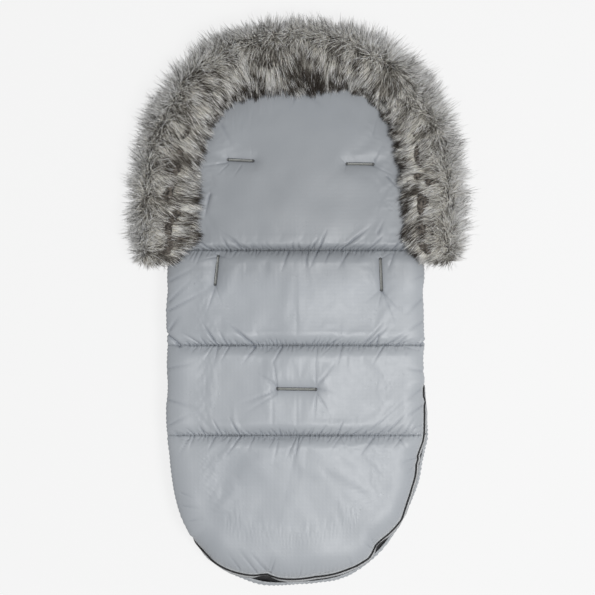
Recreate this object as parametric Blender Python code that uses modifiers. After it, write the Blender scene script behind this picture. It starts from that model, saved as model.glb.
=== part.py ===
# Stroller footmuff, lying on its front cover with the back panel up and the hood towards +Y.
# Metres, +Z up. The origin is on the floor, under the middle of the whole outline.
# The zip runs round the edge of the sack. Two sliders close it, and the cover folds down
# over the foot. The head section folds forward at the top cross seam.

import math

import bmesh
import bpy
from mathutils import Vector
from mathutils.bvhtree import BVHTree

# Plan of the sack and of the head section
BODY_WIDTH = 0.450
HEAD_SEAM_Y = 0.083
MIDDLE_SEAM_Y = -0.083
FOOT_SEAM_Y = -0.2405
FOOT_TIP_Y = -0.5010
COVER_TOP_Y = 0.062
FOOT_ROUNDNESS = 2.3
HEAD_FLARE = 0.0030
HEAD_BEND_Y = 0.150
HEAD_TIP_Y = 0.4375
HEAD_ROUNDNESS = 2.2
HEAD_DROP = 0.028
HEAD_DROP_POWER = 1.5

# Clearance between pieces that touch, overrun of cutters and distance for merging points
GAP = 0.0003
OVERRUN = 0.020
MERGE_DISTANCE = 0.00001

# Padded panels: an outer skin rolled in at its edge, wadding and a lining
SHELL_THICKNESS = 0.0012
LINING_THICKNESS = 0.0020
ROLL_WIDTH = 0.022
ROLL_UNDERCUT = math.radians(58)
CROWN_GRID_SHARE = 0.6
QUILT_REACH = 0.034
QUILT_POWER = 2.4
RIM_FADE_SHARE = 0.7
RIM_FADE_POWER = 3
WADDING_SINK = 0.0021
WADDING_TUCK = 0.0060
LINING_TUCK = 0.0036
LINING_FALL_SHARE = 0.35

# Heights of the lower panels (the cover and the foot) and of the back and head panels
COVER_RIM_HEIGHT = 0.0277
COVER_LINING_RISE = 0.0079
COVER_DIP_SHARE = 0.30
BACK_RIM_HEIGHT = 0.0212
BACK_CROWN = 0.0027
BACK_LINING_RISE = 0.0032
BACK_DIP_SHARE = 0.46

# Zip wall between the two rims, from the lower rim up
BINDING_HEIGHT = 0.0040
BINDING_WIDTH = 0.0045
BINDING_INSET = 0.0012
TAPE_HEIGHT = 0.0047
TAPE_THICKNESS = 0.0008
COIL_SIZE = 0.0028
COIL_PARTING = 0.0018
ZIP_TOP_Y = 0.0610
ZIP_STOP_LENGTH = 0.0030
ZIP_STOP_WIDTH = 0.0038

# Zip sliders and their pulls
SLIDER_TOP_Y = 0.0360
SLIDER_LENGTH = 0.0150
SLIDER_HEIGHT = 0.0110
PLATE_THICKNESS = 0.0015
POST_LENGTH = 0.0040
POST_THICKNESS = 0.0011
BAIL_LENGTH = 0.0090
BAIL_REACH = 0.0034
BAIL_WIDTH = 0.0020
BAIL_WIRE = 0.0011
PULL_LENGTH = 0.0240
PULL_WIDTH = 0.0070
PULL_THICKNESS = 0.0012
PULL_REST = 0.0012
WINDOW_WIDTH = 0.0032
WINDOW_LENGTH = 0.0062

# Harness slots through the back and head panels
SLOT_GAP = 0.0060
SLOT_WALL = 0.0015
SLOT_PROUD = 0.0008
SLOT_STEPS = 16
SHOULDER_SLOT_LENGTH = 0.048
SHOULDER_SLOT_X = 0.104
SHOULDER_SLOT_Y = 0.237
WAIST_SLOT_LENGTH = 0.055
WAIST_SLOT_X = 0.143
WAIST_SLOT_Y = 0.040
CROTCH_SLOT_LENGTH = 0.070
CROTCH_SLOT_Y = -0.1593

# Hem along the cover's top edge
HEM_DEPTH = 0.0030
HEM_INSET = 0.0006

# Fur trim: a roll round the hood's rim, open at its inner side for the head panel
FUR_WIDTH = 0.124
FUR_HEIGHT = 0.090
FUR_SIDE_OVERHANG = 0.077
FUR_TIP_OVERHANG = 0.0625
FUR_END_Y = 0.062
FUR_SQUARENESS = 2.6
FUR_SETTLE = 0.0020
FUR_STEPS = 14
FUR_SACK_CLEARANCE = 0.0070
FUR_FRONT_END_Y = 0.145
FUR_FRONT_HEIGHT = 0.042
FUR_BACK_END_Y = 0.086
FUR_BACK_HEIGHT = 0.0795
GROOVE_CLEARANCE = 0.0008

BODY_HALF = BODY_WIDTH / 2
HEAD_HALF = BODY_HALF + HEAD_FLARE
FUR_LINE_HALF = HEAD_HALF + FUR_SIDE_OVERHANG - FUR_WIDTH / 2
FUR_LINE_TOP_Y = HEAD_TIP_Y + FUR_TIP_OVERHANG - FUR_WIDTH / 2
ROLL_TUCK = ROLL_WIDTH * (1 - math.cos(ROLL_UNDERCUT))
ZIP_X = BODY_HALF - ROLL_TUCK

# Heights of the zip wall's pieces, each a gap above the one below
COVER_BINDING_Z = COVER_RIM_HEIGHT + GAP
COVER_TAPE_Z = COVER_BINDING_Z + BINDING_HEIGHT + GAP
COVER_COIL_Z = COVER_TAPE_Z + TAPE_HEIGHT + GAP
ZIP_MIDDLE_Z = COVER_COIL_Z + COIL_SIZE + COIL_PARTING / 2
BACK_COIL_Z = ZIP_MIDDLE_Z + COIL_PARTING / 2
BACK_TAPE_Z = BACK_COIL_Z + COIL_SIZE + GAP
BACK_BINDING_Z = BACK_TAPE_Z + TAPE_HEIGHT + GAP
BACK_RIM_Z = BACK_BINDING_Z + BINDING_HEIGHT + GAP
HEAD_HINGE_Z = BACK_RIM_Z - GAP
ABOVE_Z = BACK_RIM_Z + BACK_RIM_HEIGHT + OVERRUN
BELOW_HEAD_Z = BACK_RIM_Z - HEAD_DROP - OVERRUN

# Grid rows: shares of a quilted channel, and of the way round an end
CHANNEL_SHARES = (0, 0.09, 0.24, 0.5, 0.76, 0.91)
ROUND_SHARES = (0.035, 0.1, 0.2, 0.3, 0.42, 0.52, 0.6, 0.7, 0.8, 0.9, 1)
PLAIN_SHARES = (0, 0.25, 0.5, 0.75)
PLAIN_ROUND_SHARES = (0.15, 0.32, 0.5, 0.65, 0.8, 0.9, 1)
SKIN_COLUMNS = 20
PLAIN_COLUMNS = 10
ARC_STEPS = 12

SIDES = ((-1, "left"), (1, "right"))

COLOURS = {
    "nylon": (0.47, 0.49, 0.51, 1),
    "wadding": (0.86, 0.86, 0.84, 1),
    "fleece": (0.80, 0.76, 0.66, 1),
    "binding": (0.60, 0.61, 0.62, 1),
    "zip_tape": (0.42, 0.43, 0.45, 1),
    "zip_coil": (0.05, 0.05, 0.055, 1),
    "fur": (0.30, 0.26, 0.22, 1),
    "metal": (0.35, 0.35, 0.36, 1),
}
ROUGHNESS = {"nylon": 0.45, "zip_coil": 0.35, "metal": 0.3}
PLAIN_ROUGHNESS = 0.9
METALLIC = {"metal": 1.0}
SHEET_FINISHES = {"shell": "nylon", "lining": "fleece"}


class Panel:
    """One padded panel: a straight strip along Y and, where reach isn't zero, a round end.

    Grid point (u, v) runs from -1 to 1 across, from -1 to 0 along the strip and from 0 to 1
    round the end. Heights are counted from the rim's seam towards the outer skin.
    """

    def __init__(self, base_y, toward, half, straight, reach, roundness, up):
        self.base_y = base_y
        self.toward = toward
        self.half = half
        self.straight = straight
        self.reach = reach
        self.roundness = roundness
        self.up = up
        self.seams = ()
        self.dip_share = 0
        self.drop = 0

    def raise_to(self, rim_z, rim_height, crown, lining_rise):
        self.rim_z = rim_z
        self.rim_height = rim_height
        self.crown = crown
        self.lining_rise = lining_rise

    def bow(self, t):
        return (1 - abs(t) ** self.roundness / 2) ** (1 / self.roundness)

    def place(self, u, v, outline_share):
        """World x and y of a grid point whose ring is the outline, scaled to outline_share."""
        ring = max(abs(u), v)
        across = u / ring if ring > 0 else 0
        if v <= 0:
            x = self.half * across * outline_share
            return x, self.base_y + self.toward * self.straight * (1 + v)
        onward = v / ring
        x = self.half * across * self.bow(onward) * outline_share
        along = self.straight + self.reach * onward * self.bow(across) * outline_share
        return x, self.base_y + self.toward * along

    def station(self, y):
        """Grid value v of a place along the straight strip."""
        return abs(y - self.base_y) / self.straight - 1

    def dip(self, y, ring):
        """Share of the height that is lost to a quilting seam nearby."""
        if not self.seams:
            return 0
        away = min(abs(y - seam) for seam in self.seams)
        pinch = max(0, 1 - away / QUILT_REACH) ** QUILT_POWER
        return self.dip_share * pinch * (1 - RIM_FADE_SHARE * ring**RIM_FADE_POWER)

    def sunk(self, y):
        """How far the head panel has dropped towards its tip."""
        length = self.straight + self.reach
        return self.drop * (abs(y - self.base_y) / length) ** HEAD_DROP_POWER

    def outer(self, u, v, sink=0, tuck=0, undercut=ROLL_UNDERCUT):
        """Point of the outer skin, or of a surface that lies inside it by sink and tuck."""
        ring = max(abs(u), v)
        lift = self.rim_height / (1 + math.sin(ROLL_UNDERCUT))
        if ring <= CROWN_GRID_SHARE:
            share = ring / CROWN_GRID_SHARE
            outline_share = share * (1 - ROLL_WIDTH / self.half)
            rise = self.rim_height + self.crown * (1 - share**2) ** 2
            depth = sink
        else:
            share = (ring - CROWN_GRID_SHARE) / (1 - CROWN_GRID_SHARE)
            angle = math.pi / 2 - share * (math.pi / 2 + undercut)
            inset = tuck + (ROLL_WIDTH - tuck) * (1 - math.cos(angle))
            outline_share = 1 - inset / self.half
            rise = self.rim_height - lift * (1 - math.sin(angle))
            depth = sink * max(0, math.sin(angle))
        x, y = self.place(u, v, outline_share)
        rise = rise * (1 - self.dip(y, ring)) - depth
        return Vector((x, y, self.rim_z + self.up * rise - self.sunk(y)))

    def inner(self, u, v):
        """Point of the lining's open face, which falls to the rim's seam at its edge."""
        ring = max(abs(u), v)
        edge = 1 - (ROLL_TUCK + LINING_TUCK) / self.half
        fall = max(0, (ring - 1 + LINING_FALL_SHARE) / LINING_FALL_SHARE)
        x, y = self.place(u, v, edge * ring)
        rise = self.lining_rise * (1 - fall**2)
        return Vector((x, y, self.rim_z + self.up * rise - self.sunk(y)))

    def rim_line(self, inset, first_v=-1):
        """World x and y along the rim, from the right side round the end to the left."""
        around = 1 - inset / self.half
        steps = [i / ARC_STEPS for i in range(ARC_STEPS)]
        ring = [(1, first_v)] if self.straight else []
        ring += [(1, step) for step in steps]
        ring += [(1 - i / ARC_STEPS, 1) for i in range(2 * ARC_STEPS)]
        ring += [(-1, 1 - step) for step in steps] + [(-1, 0)]
        ring += [(-1, first_v)] if self.straight else []
        return [self.place(u, v, around) for u, v in ring]


def clear_scene():
    for obj in list(bpy.data.objects):
        bpy.data.objects.remove(obj, do_unlink=True)


def make_collection(name):
    collection = bpy.data.collections.new(name)
    bpy.context.scene.collection.children.link(collection)
    return collection


def make_material(name, finish):
    material = bpy.data.materials.new(name)
    material.use_nodes = True
    shader = material.node_tree.nodes["Principled BSDF"]
    shader.inputs["Base Color"].default_value = COLOURS[finish]
    shader.inputs["Roughness"].default_value = ROUGHNESS.get(finish, PLAIN_ROUGHNESS)
    shader.inputs["Metallic"].default_value = METALLIC.get(finish, 0)
    return material


def add_object(name, builder, finish=None):
    """Turns a bmesh into a named part with its own material, or into a cutter."""
    mesh = bpy.data.meshes.new(name)
    builder.to_mesh(mesh)
    builder.free()
    obj = bpy.data.objects.new(name, mesh)
    if finish:
        parts.objects.link(obj)
        mesh.materials.append(make_material(name + "_" + finish, finish))
        mesh.shade_smooth()
    else:
        cutters.objects.link(obj)
        obj.hide_render = True
        obj.display_type = "WIRE"
    return obj


def combine(obj, other, operation):
    modifier = obj.modifiers.new(operation.lower() + "_" + other.name, "BOOLEAN")
    modifier.operation = operation
    modifier.object = other


def thicken(obj, thickness, offset):
    modifier = obj.modifiers.new("thickness", "SOLIDIFY")
    modifier.thickness = thickness
    modifier.offset = offset


def add_grid(builder, columns, stations, point):
    """A grid whose points are moved from the unit square to point(u, v)."""
    rows = len(stations) - 1
    made = bmesh.ops.create_grid(builder, x_segments=columns, y_segments=rows, size=1)
    for vertex in made["verts"]:
        row = round((vertex.co.y + 1) / 2 * rows)
        vertex.co = point(vertex.co.x, stations[row])


def sheet(name, columns, stations, point, facing):
    """An open grid whose faces look up or down, in the finish that its name ends in."""
    builder = bmesh.new()
    add_grid(builder, columns, stations, point)
    builder.normal_update()
    seen = sum(face.normal.z * face.calc_area() for face in builder.faces)
    if seen * facing < 0:
        bmesh.ops.reverse_faces(builder, faces=builder.faces[:])
    return add_object(name, builder, SHEET_FINISHES[name.rsplit("_", 1)[1]])


def closed_pad(columns, stations, top, bottom):
    """Two grids joined round their edges, a closed body with its faces outwards."""
    builder = bmesh.new()
    add_grid(builder, columns, stations, top)
    add_grid(builder, columns, stations, bottom)
    edges = [edge for edge in builder.edges if edge.is_boundary]
    bmesh.ops.bridge_loops(builder, edges=edges)
    bmesh.ops.recalc_face_normals(builder, faces=builder.faces[:])
    return builder


def box(low, high):
    builder = bmesh.new()
    for vertex in bmesh.ops.create_cube(builder, size=1)["verts"]:
        for axis in range(3):
            vertex.co[axis] = high[axis] if vertex.co[axis] > 0 else low[axis]
    return builder


def side_box(side, near, far):
    """A box given by distances out from the middle, y and z, on the side that side names."""
    low = (min(side * near[0], side * far[0]), near[1], near[2])
    high = (max(side * near[0], side * far[0]), far[1], far[2])
    return box(low, high)


def grid_rows(panel, marks, channel_shares, round_shares):
    """Grid stations: shares of each channel between the marks, then round the end."""
    stations = []
    for start, end in zip(marks, marks[1:]):
        stations += [panel.station(start + (end - start) * share) for share in channel_shares]
    return stations + [0] + (list(round_shares) if panel.reach else [])


def padded_panel(prefix, panel, marks):
    """The outer skin, wadding and lining of one panel."""
    fine = grid_rows(panel, marks, CHANNEL_SHARES, ROUND_SHARES)
    plain = grid_rows(panel, marks, PLAIN_SHARES, PLAIN_ROUND_SHARES)
    skin = sheet(prefix + "_shell", SKIN_COLUMNS, fine, panel.outer, panel.up)
    thicken(skin, SHELL_THICKNESS, -1)
    lining = sheet(prefix + "_lining", PLAIN_COLUMNS, plain, panel.inner, -panel.up)
    thicken(lining, LINING_THICKNESS, -1)
    seat = panel.lining_rise + LINING_THICKNESS + GAP

    def top(u, v):
        return panel.outer(u, v, WADDING_SINK, WADDING_TUCK, undercut=0)

    def bottom(u, v):
        point = top(u, v)
        point.z = panel.rim_z + panel.up * seat - panel.sunk(point.y)
        return point

    wadding = add_object(
        prefix + "_wadding", closed_pad(PLAIN_COLUMNS, fine, top, bottom), "wadding"
    )
    return [skin, wadding, lining]


def ribbon(name, line, low, height, thickness, finish, inset=0):
    """An upright band that follows a line in plan, moved inwards by inset."""
    builder = bmesh.new()
    feet = []
    for i, (x, y) in enumerate(line):
        before = Vector(line[max(i - 1, 0)])
        after = Vector(line[min(i + 1, len(line) - 1)])
        way = (after - before).normalized()
        feet.append(builder.verts.new((x + way.y * inset, y - way.x * inset, low)))
    edges = [builder.edges.new(pair) for pair in zip(feet, feet[1:])]
    raised = bmesh.ops.extrude_edge_only(builder, edges=edges)["geom"]
    heads = [item for item in raised if isinstance(item, bmesh.types.BMVert)]
    bmesh.ops.translate(builder, verts=heads, vec=(0, 0, height))
    obj = add_object(name, builder, finish)
    thicken(obj, thickness, 0)
    return obj


def zip_half(names, line, coil_line, heights):
    """The binding, tape and coil of one side of the zip, along the same line."""
    binding_z, tape_z, coil_z = heights
    binding, tape, coil = names
    return [
        ribbon(binding, line, binding_z, BINDING_HEIGHT, BINDING_WIDTH, "binding", BINDING_INSET),
        ribbon(tape, line, tape_z, TAPE_HEIGHT, TAPE_THICKNESS, "zip_tape"),
        ribbon(coil, coil_line, coil_z, COIL_SIZE, COIL_SIZE, "zip_coil"),
    ]


def zip_stop(name, side, coil_z):
    """A clamp at the top end of one coil."""
    half = ZIP_STOP_WIDTH / 2
    near = (ZIP_X - half, ZIP_TOP_Y - ZIP_STOP_LENGTH, coil_z)
    far = (ZIP_X + half, ZIP_TOP_Y, coil_z + COIL_SIZE)
    stop = add_object(name, side_box(side, near, far), "metal")
    stop.data.shade_flat()
    return stop


def zip_slider(name, side):
    """Two plates over the chain, a post between the coils and a bail for the pull."""
    inner = COIL_SIZE / 2 + GAP
    outer = inner + PLATE_THICKNESS
    low_y = SLIDER_TOP_Y - SLIDER_LENGTH / 2
    high_y = SLIDER_TOP_Y + SLIDER_LENGTH / 2
    low_z = ZIP_MIDDLE_Z - SLIDER_HEIGHT / 2
    high_z = ZIP_MIDDLE_Z + SLIDER_HEIGHT / 2
    near_plate = side_box(side, (ZIP_X - outer, low_y, low_z), (ZIP_X - inner, high_y, high_z))
    far_plate = side_box(side, (ZIP_X + inner, low_y, low_z), (ZIP_X + outer, high_y, high_z))
    root = PLATE_THICKNESS / 2
    post = side_box(
        side,
        (ZIP_X - inner - root, high_y - POST_LENGTH, ZIP_MIDDLE_Z - POST_THICKNESS / 2),
        (ZIP_X + inner + root, high_y - GAP, ZIP_MIDDLE_Z + POST_THICKNESS / 2),
    )
    half_bail = BAIL_LENGTH / 2
    bail = side_box(
        side,
        (ZIP_X + outer - root, SLIDER_TOP_Y - half_bail, ZIP_MIDDLE_Z - BAIL_WIDTH / 2),
        (ZIP_X + outer + BAIL_REACH, SLIDER_TOP_Y + half_bail, ZIP_MIDDLE_Z + BAIL_WIDTH / 2),
    )
    eye = side_box(
        side,
        (ZIP_X + outer, SLIDER_TOP_Y - half_bail + BAIL_WIRE, ZIP_MIDDLE_Z - BAIL_WIDTH),
        (
            ZIP_X + outer + BAIL_REACH - BAIL_WIRE,
            SLIDER_TOP_Y + half_bail - BAIL_WIRE,
            ZIP_MIDDLE_Z + BAIL_WIDTH,
        ),
    )
    slider = add_object(name, far_plate, "metal")
    for shape, part in (("post", post), ("plate", near_plate), ("bail", bail)):
        combine(slider, add_object(name + "_" + shape, part), "UNION")
    combine(slider, add_object(name + "_eye", eye), "DIFFERENCE")
    slider.data.shade_flat()
    return slider


def pull_axis_x():
    """Distance from the middle to the axis that a pull turns about."""
    return ZIP_X + COIL_SIZE / 2 + GAP + PLATE_THICKNESS + PULL_REST


def zip_pull(name, side):
    """A flat tab whose end bar lies under the bail. It points to the foot at rest."""
    half = PULL_THICKNESS / 2
    low_x = pull_axis_x() - half
    high_x = pull_axis_x() + half
    tab = side_box(
        side,
        (low_x, SLIDER_TOP_Y + half - PULL_LENGTH, ZIP_MIDDLE_Z - PULL_WIDTH / 2),
        (high_x, SLIDER_TOP_Y + half, ZIP_MIDDLE_Z + PULL_WIDTH / 2),
    )
    window = side_box(
        side,
        (low_x - half, SLIDER_TOP_Y - half - WINDOW_LENGTH, ZIP_MIDDLE_Z - WINDOW_WIDTH / 2),
        (high_x + half, SLIDER_TOP_Y - half, ZIP_MIDDLE_Z + WINDOW_WIDTH / 2),
    )
    pull = add_object(name, tab, "metal")
    combine(pull, add_object(name + "_window", window), "DIFFERENCE")
    pull.data.shade_flat()
    return pull


def slot_outline(centre, length, along_x, half_gap):
    """Points round a slot with round ends, half_gap from its middle line."""
    run = length / 2 - SLOT_GAP / 2
    points = []
    for i in range(SLOT_STEPS):
        angle = (2 * i + 1) * math.pi / SLOT_STEPS
        long = half_gap * math.cos(angle) + math.copysign(run, math.cos(angle))
        short = half_gap * math.sin(angle)
        way = (long, short) if along_x else (-short, long)
        points.append((centre[0] + way[0], centre[1] + way[1]))
    return points


def slot_builder(outline, levels):
    """A tube round a slot's outline, open at both ends. levels gives its two heights."""
    builder = bmesh.new()
    ring = bmesh.ops.create_circle(builder, segments=len(outline), radius=1)["verts"]
    for vertex, (x, y) in zip(ring, outline):
        vertex.co = (x, y, levels(x, y)[0])
    edges = [edge for edge in builder.edges if edge.is_boundary or edge.is_wire]
    raised = bmesh.ops.extrude_edge_only(builder, edges=edges)["geom"]
    for item in raised:
        if isinstance(item, bmesh.types.BMVert):
            item.co.z = levels(item.co.x, item.co.y)[1]
    bmesh.ops.recalc_face_normals(builder, faces=builder.faces[:])
    return builder


def harness_slot(name, panel_parts, centre, length, along_x):
    """Cuts a slot through a panel and lines it with a bound edge that follows the panel."""
    skin, wadding, lining = panel_parts
    graph = bpy.context.evaluated_depsgraph_get()
    skin_tree = BVHTree.FromObject(skin, graph)
    lining_tree = BVHTree.FromObject(lining, graph)

    def levels(x, y):
        under = lining_tree.ray_cast(Vector((x, y, 0)), Vector((0, 0, 1)))[0]
        over = skin_tree.ray_cast(Vector((x, y, ABOVE_Z)), Vector((0, 0, -1)))[0]
        return under.z - SLOT_PROUD, over.z + SLOT_PROUD

    middle = slot_outline(centre, length, along_x, SLOT_GAP / 2 + SLOT_WALL / 2)
    binding = add_object(name, slot_builder(middle, levels), "binding")
    thicken(binding, SLOT_WALL, 0)

    hole = slot_outline(centre, length, along_x, SLOT_GAP / 2 + SLOT_WALL + GAP)
    tube = slot_builder(hole, lambda x, y: (BELOW_HEAD_Z, ABOVE_Z))
    open_edges = [edge for edge in tube.edges if edge.is_boundary]
    bmesh.ops.holes_fill(tube, edges=open_edges, sides=0)
    bmesh.ops.recalc_face_normals(tube, faces=tube.faces[:])
    return binding, add_object(name + "_hole", tube)


def fur_roll():
    """An oval roll swept round the hood's rim, with its two ends closed."""
    straight = HEAD_BEND_Y - FUR_END_Y
    reach = FUR_LINE_TOP_Y - HEAD_BEND_Y
    guide = Panel(FUR_END_Y, 1, FUR_LINE_HALF, straight, reach, HEAD_ROUNDNESS, 1)
    line = [Vector(point) for point in guide.rim_line(0)]
    last = len(line) - 1
    middle_z = FUR_HEIGHT / 2 - FUR_SETTLE
    power = 2 / FUR_SQUARENESS

    def point(u, v):
        row = round((v + 1) / 2 * last)
        way = (line[min(row + 1, last)] - line[max(row - 1, 0)]).normalized()
        angle = math.pi * u
        out = math.copysign(abs(math.cos(angle)) ** power, math.cos(angle)) * FUR_WIDTH / 2
        rise = math.copysign(abs(math.sin(angle)) ** power, math.sin(angle)) * FUR_HEIGHT / 2
        x = line[row].x + way.y * out
        y = line[row].y - way.x * out
        return Vector((x, y, max(0, middle_z + rise)))

    builder = bmesh.new()
    add_grid(builder, FUR_STEPS, [2 * i / last - 1 for i in range(last + 1)], point)
    bmesh.ops.remove_doubles(builder, verts=builder.verts[:], dist=MERGE_DISTANCE)
    open_edges = [edge for edge in builder.edges if edge.is_boundary]
    bmesh.ops.holes_fill(builder, edges=open_edges, sides=0)
    bmesh.ops.recalc_face_normals(builder, faces=builder.faces[:])
    return builder


def fur_trim(head):
    """The fur roll, cut open for the head panel and kept clear of the sack's top."""
    fur = add_object("fur_trim", fur_roll(), "fur")

    def top(u, v):
        return head.outer(u, v, -GROOVE_CLEARANCE, -GROOVE_CLEARANCE, undercut=0)

    def bottom(u, v):
        point = top(u, v)
        point.z = head.rim_z - GROOVE_CLEARANCE - head.sunk(point.y)
        return point

    rows = grid_rows(head, [head.base_y, HEAD_BEND_Y], CHANNEL_SHARES, ROUND_SHARES)
    groove = add_object("fur_groove", closed_pad(SKIN_COLUMNS, rows, top, bottom))
    half = BODY_HALF + FUR_SACK_CLEARANCE
    low = (-half, FUR_END_Y - OVERRUN, -OVERRUN)
    front = box(low, (half, FUR_FRONT_END_Y, FUR_FRONT_HEIGHT))
    back = box(low, (half, FUR_BACK_END_Y, FUR_BACK_HEIGHT))
    combine(fur, groove, "DIFFERENCE")
    combine(fur, add_object("fur_front_clearance", front), "DIFFERENCE")
    combine(fur, add_object("fur_back_clearance", back), "DIFFERENCE")
    return fur


def top_hem(cover):
    """A bound hem across the end of the cover, between the two rolled edges."""
    half = cover.half - ROLL_WIDTH
    low = cover.outer(0, -1).z + HEM_INSET
    high = cover.inner(0, -1).z - HEM_INSET
    near = COVER_TOP_Y + GAP
    hem = box((-half, near, low), (half, near + HEM_DEPTH, high))
    return add_object("cover_top_hem", hem, "binding")


def attach(pieces, name, place):
    """Parents pieces to an empty on their joint's axis, leaving them where they are."""
    empty = bpy.data.objects.new(name, None)
    parts.objects.link(empty)
    empty.location = place
    bpy.context.view_layer.update()
    for piece in pieces:
        piece.parent = empty
        piece.matrix_parent_inverse = empty.matrix_world.inverted()


def straight_side(side, first_y, last_y):
    return [(side * ZIP_X, first_y), (side * ZIP_X, last_y)]


def build_back():
    """The back panel with its half of the zip, and the foot that stays joined to it."""
    top_y = HEAD_SEAM_Y - GAP
    straight = top_y - FOOT_SEAM_Y
    reach = FOOT_SEAM_Y - FOOT_TIP_Y
    back = Panel(top_y, -1, BODY_HALF, straight, reach, FOOT_ROUNDNESS, 1)
    back.raise_to(BACK_RIM_Z, BACK_RIM_HEIGHT, BACK_CROWN, BACK_LINING_RISE)
    back.seams = (HEAD_SEAM_Y, MIDDLE_SEAM_Y, FOOT_SEAM_Y)
    back.dip_share = BACK_DIP_SHARE
    panel_parts = padded_panel("back", back, [top_y, MIDDLE_SEAM_Y, FOOT_SEAM_Y])
    coil_top_y = ZIP_TOP_Y - ZIP_STOP_LENGTH - GAP
    zip_half(
        ("back_edge_binding", "back_zip_tape", "back_zip_coil"),
        back.rim_line(ROLL_TUCK, back.station(ZIP_TOP_Y)),
        back.rim_line(ROLL_TUCK, back.station(coil_top_y)),
        (BACK_BINDING_Z, BACK_TAPE_Z, BACK_COIL_Z),
    )
    for side, word in SIDES:
        zip_stop("back_zip_stop_" + word, side, BACK_COIL_Z)
    slots = [("crotch_slot_binding", (0, CROTCH_SLOT_Y), CROTCH_SLOT_LENGTH, True)]
    for side, word in SIDES:
        place = (side * WAIST_SLOT_X, WAIST_SLOT_Y)
        slots.append(("waist_slot_binding_" + word, place, WAIST_SLOT_LENGTH, False))
    cut_slots(panel_parts, slots)


def build_foot():
    """The lower panel of the foot, which the cover folds down over."""
    base_y = FOOT_SEAM_Y - GAP
    foot = Panel(base_y, -1, BODY_HALF, 0, base_y - FOOT_TIP_Y, FOOT_ROUNDNESS, -1)
    foot.raise_to(COVER_RIM_HEIGHT, COVER_RIM_HEIGHT, 0, COVER_LINING_RISE)
    padded_panel("foot", foot, [base_y])
    line = foot.rim_line(ROLL_TUCK)
    names = ("foot_edge_binding", "foot_zip_tape", "foot_zip_coil")
    zip_half(names, line, line, (COVER_BINDING_Z, COVER_TAPE_Z, COVER_COIL_Z))


def build_cover():
    """The front cover, which opens once its sides are unzipped."""
    last_y = FOOT_SEAM_Y + GAP
    cover = Panel(COVER_TOP_Y, -1, BODY_HALF, COVER_TOP_Y - last_y, 0, FOOT_ROUNDNESS, -1)
    cover.raise_to(COVER_RIM_HEIGHT, COVER_RIM_HEIGHT, 0, COVER_LINING_RISE)
    cover.seams = (COVER_TOP_Y, MIDDLE_SEAM_Y)
    cover.dip_share = COVER_DIP_SHARE
    pieces = padded_panel("cover", cover, [COVER_TOP_Y, MIDDLE_SEAM_Y, last_y])
    pieces.append(top_hem(cover))
    coil_top_y = ZIP_TOP_Y - ZIP_STOP_LENGTH - GAP
    for side, word in SIDES:
        names = ("cover_edge_binding_" + word, "cover_zip_tape_" + word, "cover_zip_coil_" + word)
        pieces += zip_half(
            names,
            straight_side(side, ZIP_TOP_Y, last_y),
            straight_side(side, coil_top_y, last_y),
            (COVER_BINDING_Z, COVER_TAPE_Z, COVER_COIL_Z),
        )
        pieces.append(zip_stop("cover_zip_stop_" + word, side, COVER_COIL_Z))
    attach(pieces, "cover_fold", (0, FOOT_SEAM_Y, 0))


def build_head():
    """The head panel with the fur trim round its rim."""
    base_y = HEAD_SEAM_Y + GAP
    straight = HEAD_BEND_Y - base_y
    reach = HEAD_TIP_Y - HEAD_BEND_Y
    head = Panel(base_y, 1, HEAD_HALF, straight, reach, HEAD_ROUNDNESS, 1)
    head.raise_to(BACK_RIM_Z, BACK_RIM_HEIGHT, BACK_CROWN, BACK_LINING_RISE)
    head.seams = (HEAD_SEAM_Y,)
    head.dip_share = BACK_DIP_SHARE
    head.drop = HEAD_DROP
    panel_parts = padded_panel("head", head, [base_y, HEAD_BEND_Y])
    fur = fur_trim(head)
    slots = []
    for side, word in SIDES:
        place = (side * SHOULDER_SLOT_X, SHOULDER_SLOT_Y)
        slots.append(("shoulder_slot_binding_" + word, place, SHOULDER_SLOT_LENGTH, True))
    bindings = cut_slots(panel_parts, slots)
    attach(panel_parts + [fur] + bindings, "head_fold", (0, HEAD_SEAM_Y, HEAD_HINGE_Z))


def cut_slots(panel_parts, slots):
    """Makes each slot's binding first, while the panel is whole, and then cuts the holes."""
    made = [harness_slot(name, panel_parts, *where) for name, *where in slots]
    for piece in panel_parts:
        for _, hole in made:
            combine(piece, hole, "DIFFERENCE")
    return [binding for binding, _ in made]


def build_sliders():
    for side, word in SIDES:
        slider = zip_slider("zip_slider_" + word, side)
        pull = zip_pull("zip_pull_" + word, side)
        attach([pull], "pull_axis_" + word, (side * pull_axis_x(), SLIDER_TOP_Y, ZIP_MIDDLE_Z))
        attach([slider], "slider_run_" + word, (side * ZIP_X, SLIDER_TOP_Y, ZIP_MIDDLE_Z))


clear_scene()
parts = make_collection("stroller_footmuff")
cutters = make_collection("cutters")
build_back()
build_foot()
build_cover()
build_head()
build_sliders()
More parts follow.
